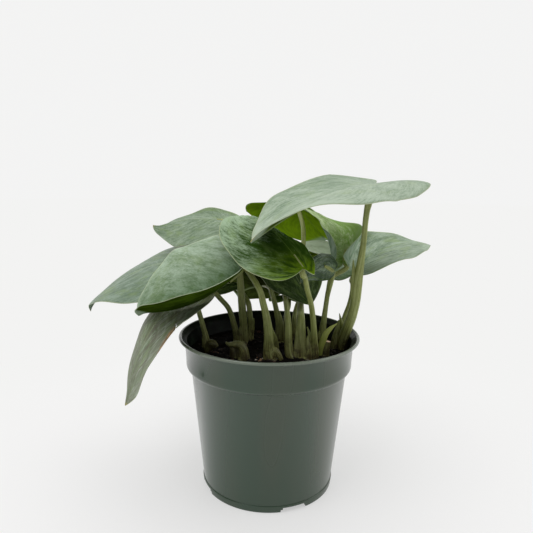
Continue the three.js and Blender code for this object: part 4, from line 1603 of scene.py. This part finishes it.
LEAVES = [
    Leaf(
        "leaf_top", base=(54.3, -11.5, 182), heading=218.5, pitch=(-5, -29.5), sweep=5, roll=-4, twist=28.5,
        hook=5.5, length=88.5, width=76.5, left=(19.5, -58), right=(-9.5, 35), lobe=28.5, taper=4,
        spread=1.24, lit_silver=(0.6, 0.5, 0.5, 0.3),
        finish=LeafFinish(
            "leaf_top", silver_color=srgb(166, 182, 160), green=srgb(92, 120, 86), tip=srgb(170, 150, 70),
            warmth=0.3, seed=1.0,
        ),
    ),
    # Painted sheen and shade: its silver runs out towards the right margin, in the shade of the leaf above,
    # and grows towards the tip; its bright yellow-green tint by the sinus is painted light coming through
    # the blade.
    Leaf(
        "leaf_front", base=(16.9, -44.5, 140.6), heading=139, pitch=(46, -24), sweep=-58, roll=-7, twist=13,
        hook=-22.5, length=87.5, width=58.5, left=(12, -53), right=(-30.5, 1), lobe=4.2, furl=0.7,
        taper=3.8, spread=1.32, lit_silver=(0.45, -0.2, -0.5, 1.2),
        finish=LeafFinish(
            "leaf_front", green=srgb(44, 70, 18), silver_color=srgb(156, 178, 148),
            sinus_light_shade=srgb(118, 150, 22), warmth=0.3, sinus_light_shade_share=1.0, edge=0.8, gloss=0.0, roughness=0.5,
            rib=srgb(116, 144, 66), seed=2.0,
        ),
    ),
    Leaf(
        "leaf_left_near", base=(-16.8, -14, 133.7), heading=189, pitch=(-46, -1), sweep=-32, roll=-55,
        twist=13, hook=-45, length=70, width=73, left=(63.5, 4), right=(67, -73), lobe=12.4, furl=0.6,
        taper=4.2, spread=1.2, lit_silver=(0.6, 0.5, 0.55, 0.0),
        finish=LeafFinish(
            "leaf_left_near", silver_color=srgb(176, 196, 172), green=srgb(116, 140, 104),
            under=srgb(68, 92, 20), under_dark=srgb(34, 50, 8), warmth=0.4, seed=3.0,
        ),
    ),
    Leaf(
        "leaf_left_far", base=(-40, 17, 135), heading=167, pitch=(0, -48), sweep=-2, roll=-29, twist=16,
        hook=-41, length=97, width=75, left=(7, -28), right=(0, -25), lobe=14, drip=0.45,
        lit_silver=(0.45, 0.45, 0.45, 0.0),
        finish=LeafFinish(
            "leaf_left_far", silver_color=srgb(144, 162, 144), green=srgb(84, 108, 82), seed=4.0,
        ),
    ),
    Leaf(
        "leaf_back_left", base=(-26.3, 13.7, 159.2), heading=141.6, pitch=(5, -21), sweep=7, roll=-17,
        twist=-31, hook=40, length=67, width=47, left=(-8, -20), right=(-46, 69), lobe=13, furl=-0.2,
        taper=3, spread=1.2, lit_silver=(0.5, 0.45, 0.45, 0.0),
        finish=LeafFinish(
            "leaf_back_left", silver_color=srgb(150, 168, 144), green=srgb(84, 110, 74), seed=5.0,
        ),
    ),
    # Painted light: its strong silver and its pale tint by the sinus lift the upper part of the blade,
    # which lies in the shade of the leaves above it.
    Leaf(
        "leaf_hanging", base=(-47.8, -0.7, 119), heading=212, pitch=(-28, -86), sweep=13, roll=-27,
        twist=37, hook=20, length=78, width=60, left=(-7, 57), right=(-13, -36), lobe=10, taper=5.1,
        tear=(1, 0.475, 0.5), lit_silver=(0.8, 0.6, 0.4, -0.1),
        finish=LeafFinish(
            "leaf_hanging", silver_color=srgb(140, 152, 130), green=srgb(84, 98, 58), lined=0.5, brown=0.6,
            sinus_light_shade_share=0.8, sinus_light_shade=srgb(140, 156, 66), seed=6.0,
        ),
    ),
    # Painted shade: its dark tint by the sinus stands for shade in the middle of the clump.
    Leaf(
        "leaf_right", base=(52.1, 18.5, 126.4), heading=45, pitch=(28, -10.5), sweep=-8, roll=5.5, twist=38,
        hook=-20, length=86.7, width=53, left=(-41, 88), right=(36, -29), lobe=9, furl=0.2, taper=2.1,
        spread=1.1, lit_silver=(0.5, 0.4, 0.45, 0.1),
        finish=LeafFinish(
            "leaf_right", silver_color=srgb(166, 184, 160), green=srgb(84, 110, 78),
            sinus_light_shade=srgb(62, 90, 24), sinus_light_shade_share=1.0, gloss=0.25, seed=7.0,
        ),
    ),
    # Painted light: its bright yellow-green underside stands for light shining through the blade from
    # above.
    Leaf(
        "leaf_back", base=(17.1, 54, 170.1), heading=78, pitch=(-17, -32), sweep=-20, roll=-19, twist=-12,
        hook=8, length=86.5, width=87.5, left=(-1, 47), right=(-50, -19), lobe=13.8, furl=-0.3, taper=4.3,
        lit_silver=(0.5, 0.5, 0.5, 0.0),
        finish=LeafFinish(
            "leaf_back", rib=srgb(126, 156, 60), under=srgb(150, 186, 30), under_dark=srgb(120, 152, 28),
            glow=0.55, seed=8.0,
        ),
    ),
    # Painted shade: its dark silver and green, with little silver, stand for the shade deep in the clump.
    Leaf(
        "leaf_inner_front", base=(8.4, 23.9, 139.4), heading=297, pitch=(-37, -45), sweep=4, roll=-21,
        twist=33, hook=16, length=43, width=45, left=(-13, 38), right=(2, -57), lobe=9, furl=0.3, taper=4.1,
        spread=1.7, lit_silver=(0.1, -0.1, 0.1, 0.1),
        finish=LeafFinish(
            "leaf_inner_front", silver_color=srgb(128, 142, 108), green=srgb(48, 66, 30), gloss=0.04,
            seed=9.0,
        ),
    ),
    # Painted shade: its dark tint by the sinus stands for shade deep in the clump.
    Leaf(
        "leaf_inner_low", base=(0, 33, 116), heading=121, pitch=(-12, -25), sweep=-25, roll=25, twist=10,
        length=84, width=56, left=(10, 14), right=(10, 14), lobe=12, lit_silver=(0.3, 0.3, 0.3, 0.0),
        finish=LeafFinish(
            "leaf_inner_low", silver_color=srgb(140, 158, 124), green=srgb(72, 96, 58),
            sinus_light_shade=srgb(40, 50, 24), sinus_light_shade_share=1.0, gloss=0.0, under=srgb(62, 76, 30),
            under_dark=srgb(38, 46, 18), brown=0.3, seed=10.0,
        ),
    ),
    Leaf(
        "leaf_small", base=(37.7, -3.4, 132.7), heading=223, pitch=(23.5, -54), sweep=-36, roll=-59.5,
        twist=-10, hook=-1, length=26.0, width=19.1, left=(-43, -24), right=(29, -36.5), lobe=3.1, furl=0.6,
        taper=2.6, spread=1.5, lit_silver=(0.1, 0.3, 0.25, 0.0),
        finish=LeafFinish(
            "leaf_small", silver_color=srgb(150, 168, 146), green=srgb(48, 70, 44), gloss=0.25, seed=11.0,
        ),
    ),
    # Painted light: its near-white silver and pale green lift a blade that lies in the shade of the leaves
    # above it.
    Leaf(
        "leaf_inner_back", base=(41.7, 54.9, 129.3), heading=180, pitch=(-4, -5), sweep=24, roll=-14,
        twist=39, hook=17, length=63, width=35, left=(59, -42.5), right=(33.5, 25), lobe=8.7, furl=0.1,
        taper=3.7, spread=1.4, lit_silver=(0.8, 0.8, 0.8, 0.0),
        finish=LeafFinish(
            "leaf_inner_back", silver_color=srgb(232, 244, 224), green=srgb(184, 200, 164),
            under=srgb(124, 150, 40), warmth=0.2, seed=12.0,
        ),
    ),
    # Painted light: its bright green and pale silver lift the inside of the curl, which lies in shade.
    Leaf(
        "leaf_curled", base=(43.6, 4.8, 135.7), heading=72, pitch=(61, 10), sweep=103, roll=-38, twist=60,
        hook=-7, length=55, width=33, left=(-39, 84), right=(-25, 45), lobe=5.2, furl=2.4, taper=2,
        spread=1.6, lit_silver=(0.6, 0.4, -0.1, 0.1),
        finish=LeafFinish(
            "leaf_curled", silver_color=srgb(184, 202, 156), green=srgb(104, 142, 40),
            under=srgb(158, 178, 156), under_dark=srgb(118, 142, 116), gloss=0.12, glow=0.05, seed=13.0,
        ),
    ),
    # Painted shade: its dark silver, green and underside stand for the shade under the leaves above it.
    Leaf(
        "leaf_low_left", base=(-24.5, 33, 116.5), heading=188, pitch=(0, -20), hook=-4, length=45, width=32,
        left=(-5, -16), right=(-5, -16), lobe=6, lit_silver=(0.1, 0.1, 0.1, 0.0),
        finish=LeafFinish(
            "leaf_low_left", silver_color=srgb(112, 130, 88), green=srgb(48, 66, 28), gloss=0.0,
            under=srgb(40, 58, 22), under_dark=srgb(30, 42, 18), seed=14.0,
        ),
    ),
    # Painted light: its bright yellow-green faces stand for light shining through the blade from behind.
    Leaf(
        "leaf_low_back", base=(13, 40, 104.5), heading=86, pitch=(0, -20), length=46, width=30,
        left=(-5, -12), right=(-5, -12), lobe=6, lit_silver=(0.2, 0.2, 0.2, 0.0),
        finish=LeafFinish(
            "leaf_low_back", silver_color=srgb(150, 178, 96), green=srgb(110, 144, 50),
            under=srgb(128, 158, 56), under_dark=srgb(96, 128, 40), glow=0.5, seed=15.0,
        ),
    ),
]

STEMS = [
    Stem(
        "stem_left", root=(-37.3, -1.5), girth=3.2,
        stalks=[
            Stalk("leaf_hanging", [
                (-37.2, -1.5, 83, 2.9), (-38.1, -1.5, 90, 1.9), (-39.9, -1.5, 97, 1.6),
                (-42.2, -1.5, 105.7, 1.5), (-44.0, -1.2, 111, 1.45),
            ]),
        ],
        bracts=[
            Bract([
                (-37, -2.4, 82, 2.9), (-35.4, -3, 86.2, 2.7), (-33.4, -3.4, 86.6, 2.3),
                (-31.6, -3.6, 84.6, 1.6),
            ], aged=0.8),
            Bract([(-38, -2.8, 84, 2.4), (-38.8, -2.8, 89, 1.7), (-39.2, -2.7, 93, 0.5)], flat=0.6),
        ],
    ),
    Stem(
        "stem_stub", root=(-15.5, -17.5), girth=4,
        bracts=[
            Bract([
                (-14, -18, 81, 3.4), (-14.2, -18, 86, 3), (-15.4, -18, 89.6, 2.7), (-18, -18, 91.2, 2.3),
                (-21, -18.2, 91.2, 1.7), (-23.4, -18.2, 91.4, 1.1), (-24.7, -18.2, 92.6, 0.5),
            ], aged=0.6),
            Bract([
                (-19.4, -17, 81, 3), (-20, -17, 85.4, 2.7), (-20.8, -17.4, 88.6, 1.9),
                (-22, -17.6, 90.4, 0.9),
            ], aged=1.0),
            Bract([(-16.8, -15.6, 81, 3.2), (-17.4, -15.6, 86, 2.8), (-18.4, -16, 89, 1.6)], aged=1.0),
        ],
    ),
    Stem(
        "stem_left_back", root=(-17, 13.5), girth=5,
        stalks=[
            Stalk("leaf_left_far", [
                (-20, 13, 81, 2.9), (-20.6, 13, 87.3, 2.2), (-22.2, 13, 94.2, 1.8),
                (-24.1, 13, 100.9, 1.65), (-26.5, 12, 106.2, 1.6), (-31, 13, 110.9, 1.6),
                (-35.6, 13.6, 116.5, 1.6), (-37.4, 15, 124.5, 1.6),
            ], groove=0.2),
            Stalk("leaf_back_left", [
                (-16.4, 14, 80, 4), (-16.2, 14, 86, 3.2), (-16.2, 14, 92.9, 2.6), (-16.9, 14, 101.4, 2.45),
                (-17.6, 14, 110.4, 2.35), (-18.4, 14.6, 122, 2.1), (-20, 15.4, 138, 1.7),
                (-22, 16, 148, 1.6),
            ], groove=0.25),
            Stalk("leaf_low_left", [
                (-12.8, 15, 81, 2.9), (-12.1, 15.2, 87, 2.2), (-11.6, 15.6, 92, 1.9),
                (-12.3, 16, 99.6, 1.75), (-13.5, 16.5, 107.3, 1.7), (-17, 23, 111.4, 1.5),
            ], groove=0.3),
        ],
        bracts=[
            Bract([
                (-12, 14.6, 84, 2), (-11, 14.4, 90, 1.6), (-10.2, 14.4, 94.5, 0.9), (-9.8, 14.4, 98, 0.3),
            ], flat=0.6),
            Bract([(-18.6, 12.4, 82, 2.6), (-18.4, 12, 88, 2), (-18, 12.2, 93, 0.5)], flat=0.6),
        ],
    ),
    Stem(
        "stem_front", root=(1.2, -16.8), girth=4.6,
        stalks=[
            Stalk("leaf_left_near", [
                (0.6, -17, 79, 4.2), (0.2, -17, 86, 3.6), (-0.1, -17, 91, 3.1), (-0.4, -17, 98, 2.6),
                (-1.7, -17, 107.4, 2.2), (-3.7, -18, 115.8, 1.9), (-6.2, -19, 124.6, 1.7),
            ], groove=0.25),
        ],
        bracts=[
            Bract([
                (1.2, -17.8, 84, 3), (3, -18, 87.6, 2.5), (5, -18.2, 86, 2), (7.2, -18.3, 82.4, 1.4),
            ], flat=0.7),
            Bract([
                (3, -14.4, 81, 2.6), (4, -14, 87.5, 2), (3.4, -14.2, 93.5, 1.5), (2, -14.8, 98, 0.9),
                (1, -15, 102, 0.3),
            ], flat=0.55),
            Bract([(-0.6, -18.6, 88, 2.5), (-0.4, -18.6, 95, 1.9), (-1, -18.3, 100.5, 0.4)], flat=0.5),
        ],
    ),
    Stem(
        "stem_back", root=(7.6, 15), girth=5,
        stalks=[
            Stalk("leaf_inner_low", [
                (5.8, 15, 80, 3), (6, 15, 87, 2.3), (5.9, 15, 94.3, 1.9), (4.7, 15.4, 101.3, 1.7),
                (3.4, 16, 107, 1.6), (1.6, 22, 111.6, 1.6),
            ]),
            Stalk("leaf_low_back", [
                (9.6, 17, 80, 2.8), (10.4, 20, 92, 1.8), (11.4, 25.6, 99.4, 1.65), (12.4, 33, 101, 1.65),
            ]),
            Stalk("leaf_inner_back", [
                (10.4, 13.8, 80, 2.6), (13.6, 12.6, 86.5, 2.2), (15.4, 12, 93.4, 1.6), (16, 13, 102, 1.5),
                (20, 22, 110, 1.5), (30, 38, 119, 1.5), (37, 49, 125, 1.5),
            ]),
        ],
        bracts=[
            Bract([
                (7.4, 14, 84, 2.4), (7.6, 13.8, 92, 1.8), (6.8, 14, 99, 1.1), (6, 14.4, 103, 0.3),
            ], flat=0.6),
        ],
    ),
    Stem(
        "stem_front_right", root=(19.6, -14.5), girth=5.4,
        stalks=[
            Stalk("leaf_inner_front", [
                (15.6, -14.8, 79, 3.4), (12.2, -15, 84.5, 2.8), (11.3, -15, 90, 2.4), (11.1, -15, 96, 2.1),
                (10.9, -14, 103, 1.85), (10.4, -10, 108, 1.6), (9.4, 0, 114, 1.5), (7.8, 12, 121.5, 1.5),
                (6.2, 23, 130.5, 1.5),
            ]),
            Stalk("leaf_back", [
                (19.6, -14.6, 79, 4), (19.2, -14, 88, 3.1), (18.7, -12.6, 96, 2.6), (18.4, -9, 104.9, 2.25),
                (18.6, -1, 108, 2.05), (19.2, 12, 114, 1.8), (20.2, 24, 121.5, 1.6), (21.2, 33.5, 131, 1.5),
                (21.8, 38, 143, 1.5), (21.4, 42, 154, 1.5), (19, 48, 163, 1.5),
            ], groove=0.3),
            Stalk("leaf_front", [
                (25.6, -13.6, 79.5, 3), (26.6, -13.7, 86, 2.4), (26.1, -14, 93, 2),
                (25.4, -15.5, 101.5, 1.75), (24.4, -18, 109.2, 1.6), (22.9, -22, 117.2, 1.5),
                (20.6, -26, 125, 1.45), (18.5, -32, 133.6, 1.4),
            ]),
        ],
        bracts=[
            Bract([
                (22.4, -15.6, 80, 2.9), (22.8, -15.6, 87, 2.2), (22.2, -15.2, 93, 1.2),
                (22.6, -15, 96.6, 0.3),
            ], flat=0.7),
            Bract([
                (16.4, -15.8, 80, 2.6), (16, -15.4, 87, 2), (16.2, -13.6, 95, 1.3), (16.4, -11.4, 102, 0.3),
            ], flat=0.7),
            Bract([
                (24, -14.6, 84, 2), (23.8, -14.4, 92, 1.5), (23.2, -14, 97, 0.9), (21.8, -13.6, 101, 0.3),
            ], flat=0.6),
        ],
    ),
    Stem(
        "stem_mid_right", root=(31.6, 3.4), girth=3.8,
        stalks=[
            Stalk("leaf_curled", [
                (32, 2.4, 80, 3), (32.6, 2.4, 88, 2.3), (32.8, 2.2, 96.5, 1.8), (33.3, 2, 104, 1.6),
                (34.1, 1.6, 111.8, 1.5), (35, 1.8, 119.3, 1.4), (37, 3, 127, 1.4),
            ], groove=0.2),
            Stalk("leaf_small", [
                (30.6, 4.4, 80, 2.4), (31.6, 3.6, 92, 1.6), (33.2, 2.8, 104, 1.3), (34.2, 2, 112, 1.2),
                (35, -1, 119, 1.2), (36.2, -2.4, 125, 1.2),
            ]),
        ],
        bracts=[
            Bract([
                (30.4, 1.4, 82, 2), (30.6, 0.8, 88, 1.4), (30.2, 0.6, 92, 1), (30.4, 0.6, 94.4, 0.5),
            ], flat=0.6),
        ],
    ),
    Stem(
        "cut_stub", root=(32.6, -9.6), girth=3,
        bracts=[
            Bract([
                (32.8, -9.5, 80, 2.7), (33.4, -9.4, 86, 2.45), (33.8, -9.3, 89.4, 2.3),
                (34, -9.2, 91.2, 2.2),
            ], aged=0.7, cut=True),
            Bract([
                (29.6, -10.8, 80.5, 1.9), (30.1, -10.8, 86, 1.8), (31.1, -10.8, 90.6, 2),
                (32.9, -10.6, 95.8, 1.8), (36, -10, 99.4, 1.2), (39.6, -9.4, 102.1, 0.2),
            ], flat=0.45, pale=1.0),
        ],
    ),
    Stem(
        "stem_right", root=(41.4, 7), girth=3.4,
        stalks=[
            Stalk("leaf_top", [
                (43.9, 6.5, 79.5, 3.6), (44.7, 5, 86, 3.4), (45.8, 3, 91.5, 3.2), (47.6, 0, 98.6, 3.05),
                (49.3, -2, 105.4, 2.95), (50.4, -3.4, 112.4, 2.9), (50.9, -4.4, 119.7, 2.9),
                (51.3, -5.4, 127.6, 2.8), (51.8, -6.4, 134.2, 2.45), (52.4, -7.4, 141.3, 2.05),
                (52.9, -8.2, 147.1, 1.75), (53.2, -9.4, 154.8, 1.6), (53.2, -10.6, 161.2, 1.6),
                (53.6, -11.8, 168, 1.75), (54.2, -13, 174, 2.1),
            ], groove=0.15, tucked=True),
            Stalk("leaf_right", [
                (43.6, 10, 80, 2.4), (44.3, 10, 87.3, 1.9), (45.2, 10, 95, 1.6), (46.9, 11, 101.2, 1.45),
                (49.2, 11, 108.3, 1.4), (50.5, 11, 115.1, 1.3), (51, 12, 121, 1.3),
            ]),
        ],
        bracts=[
            Bract([
                (40, 6.2, 79, 3), (40.8, 6, 85.3, 2.8), (41.5, 6, 91, 2.2), (42.2, 6, 96.1, 1.2),
                (42.6, 6, 100, 0.4),
            ]),
            Bract([
                (45.2, 5.6, 83.9, 2.4), (45.6, 5.8, 90.2, 2.2), (44.8, 6, 96, 1.5), (43.6, 6, 100.6, 0.8),
                (42.8, 6, 104.2, 0.2),
            ], flat=0.6),
            Bract([
                (49.6, -4.6, 116, 2.1), (48.9, -5.4, 124.3, 1.8), (48.7, -6, 130.4, 1.3),
                (48.2, -6.6, 135.2, 0.8), (47.8, -7.2, 139.6, 0.2),
            ], flat=0.6),
        ],
    ),
]


@dataclass(frozen=True)
class Light:
    """A soft square light: its name, its place and size in metres, and its power."""

    name: str
    place: Triple
    size: float
    watts: float


@dataclass
class Studio:
    """The pale floor, the soft lights and the camera.

    The floor's own light fades in with the distance from the pot, over glow_reach and from and to the
    shares in glow_share. The surround is dimmer behind the camera, and backdrop is how bright the camera
    sees it.
    """

    eye: Triple = (0.0, -0.3075, 0.1861)
    yaw: float = -0.007
    dip: float = 0.169
    tilt: float = 0.013
    lens: float = 35.6
    film: float = 36
    nearest: float = 0.01
    floor_radius: float = 4.0
    paper: Color = srgb(240, 239, 240)
    glow: Color = srgb(243, 243, 242)
    glow_reach: tuple[float, float] = (0.04, 0.32)
    glow_share: tuple[float, float] = (0.54, 1.0)
    surround: Color = (1, 1, 0.995, 1)
    surround_reach: tuple[float, float] = (-0.75, 0.0)
    surround_level: tuple[float, float] = (0.35, 0.9)
    backdrop: float = 0.9
    target: Triple = (0, 0, 0.1)
    lights: tuple[Light, ...] = (
        Light("key_light", (-0.7, -0.6, 1.2), 0.9, 5.5),
        Light("top_light", (0.2, 0.5, 1.4), 1.2, 4.5),
        Light("fill_light", (1.2, -0.1, 0.7), 0.9, 2.5),
    )

    def camera(self) -> bpy.types.Object:
        """The camera where the picture was taken from.

        Returns:
            The camera, set as the scene's own.
        """
        data = bpy.data.cameras.new("camera")
        data.sensor_width = self.film
        data.lens = self.lens
        data.clip_start = self.nearest
        made = bpy.data.objects.new("camera", data)
        level = math.cos(self.dip)
        forward = Vector((math.sin(self.yaw) * level, math.cos(self.yaw) * level, -math.sin(self.dip)))
        right = Vector((math.cos(self.yaw), -math.sin(self.yaw), 0))
        up = right.cross(forward)
        turn = Matrix.Rotation(self.tilt, 3, -forward)
        right, up = turn @ right, turn @ up
        facing = Matrix((right, up, -forward)).transposed().to_4x4()
        made.matrix_world = Matrix.Translation(self.eye) @ facing
        bpy.context.scene.collection.objects.link(made)
        bpy.context.scene.camera = made
        return made

    def floor(self) -> bpy.types.Object:
        """A wide round floor of pale paper, brighter away from the pot.

        Returns:
            The floor.
        """
        mesh = bmesh.new()
        bmesh.ops.create_circle(mesh, cap_ends=True, segments=96, radius=self.floor_radius)
        made = finish_mesh(mesh, "studio_floor")
        shader = Shader("studio_paper")
        spot = shader.place()
        grain = shader.noise(spot, 300, 3)
        paper = shader.surface(self.paper, 0.6, shader.bump(grain, 0.05, 0.0003), Specular_IOR_Level=0.2)
        reach = shader.add("ShaderNodeVectorMath", operation="LENGTH")
        shader.put(spot, reach.inputs[0])
        glow = shader.add("ShaderNodeEmission")
        glow.inputs["Color"].default_value = self.glow
        shader.join(shader.span(reach.outputs["Value"], *self.glow_reach, *self.glow_share), paper, glow)
        made.data.materials.append(shader.material)
        return made

    def add_light(self, light: Light) -> None:
        """Put one light in its place, facing the plant.

        Args:
            light: The light.
        """
        data = bpy.data.lights.new(light.name, "AREA")
        data.size = light.size
        data.energy = light.watts
        made = bpy.data.objects.new(light.name, data)
        made.location = light.place
        towards = Vector(self.target) - Vector(light.place)
        made.rotation_euler = towards.to_track_quat("-Z", "Y").to_euler()
        bpy.context.scene.collection.objects.link(made)

    def sky(self) -> None:
        """A pale surround, a little darker on the camera's side of the room."""
        world = bpy.data.worlds.new("studio_world")
        world.use_nodes = True
        tree = world.node_tree
        background = tree.nodes["Background"]
        spot = tree.nodes.new("ShaderNodeTexCoord")
        parts = tree.nodes.new("ShaderNodeSeparateXYZ")
        tree.links.new(spot.outputs["Generated"], parts.inputs[0])
        level = tree.nodes.new("ShaderNodeMapRange")
        level.interpolation_type = "SMOOTHSTEP"
        names = ("From Min", "From Max", "To Min", "To Max")
        for name, value in zip(names, (*self.surround_reach, *self.surround_level)):
            level.inputs[name].default_value = value
        tree.links.new(parts.outputs["Y"], level.inputs["Value"])
        seen = tree.nodes.new("ShaderNodeLightPath")
        shown = tree.nodes.new("ShaderNodeMix")
        shown.inputs[3].default_value = self.backdrop
        tree.links.new(seen.outputs["Is Camera Ray"], shown.inputs[0])
        tree.links.new(level.outputs["Result"], shown.inputs[2])
        tree.links.new(shown.outputs[0], background.inputs["Strength"])
        background.inputs["Color"].default_value = self.surround
        bpy.context.scene.world = world

    def build(self) -> None:
        """The whole studio."""
        self.camera()
        self.floor()
        for light in self.lights:
            self.add_light(light)
        self.sky()
        bpy.context.scene.view_settings.view_transform = "Standard"
        LOG.info("studio ready")


def main() -> None:
    """Build the studio, the pot, the soil, the stems and the leaves, in that order."""
    logging.basicConfig(level=logging.INFO, format="%(name)s: %(message)s")
    Studio().build()
    Pot().build()
    soil = Soil()
    soil.build()
    soil.scatter()
    leaves = {leaf.node: leaf for leaf in LEAVES}
    stalk = StalkFinish().material()
    for stem in STEMS:
        stem.build(leaves, stalk)
    for leaf in LEAVES:
        leaf.build()


if __name__ == "__main__":
    main()
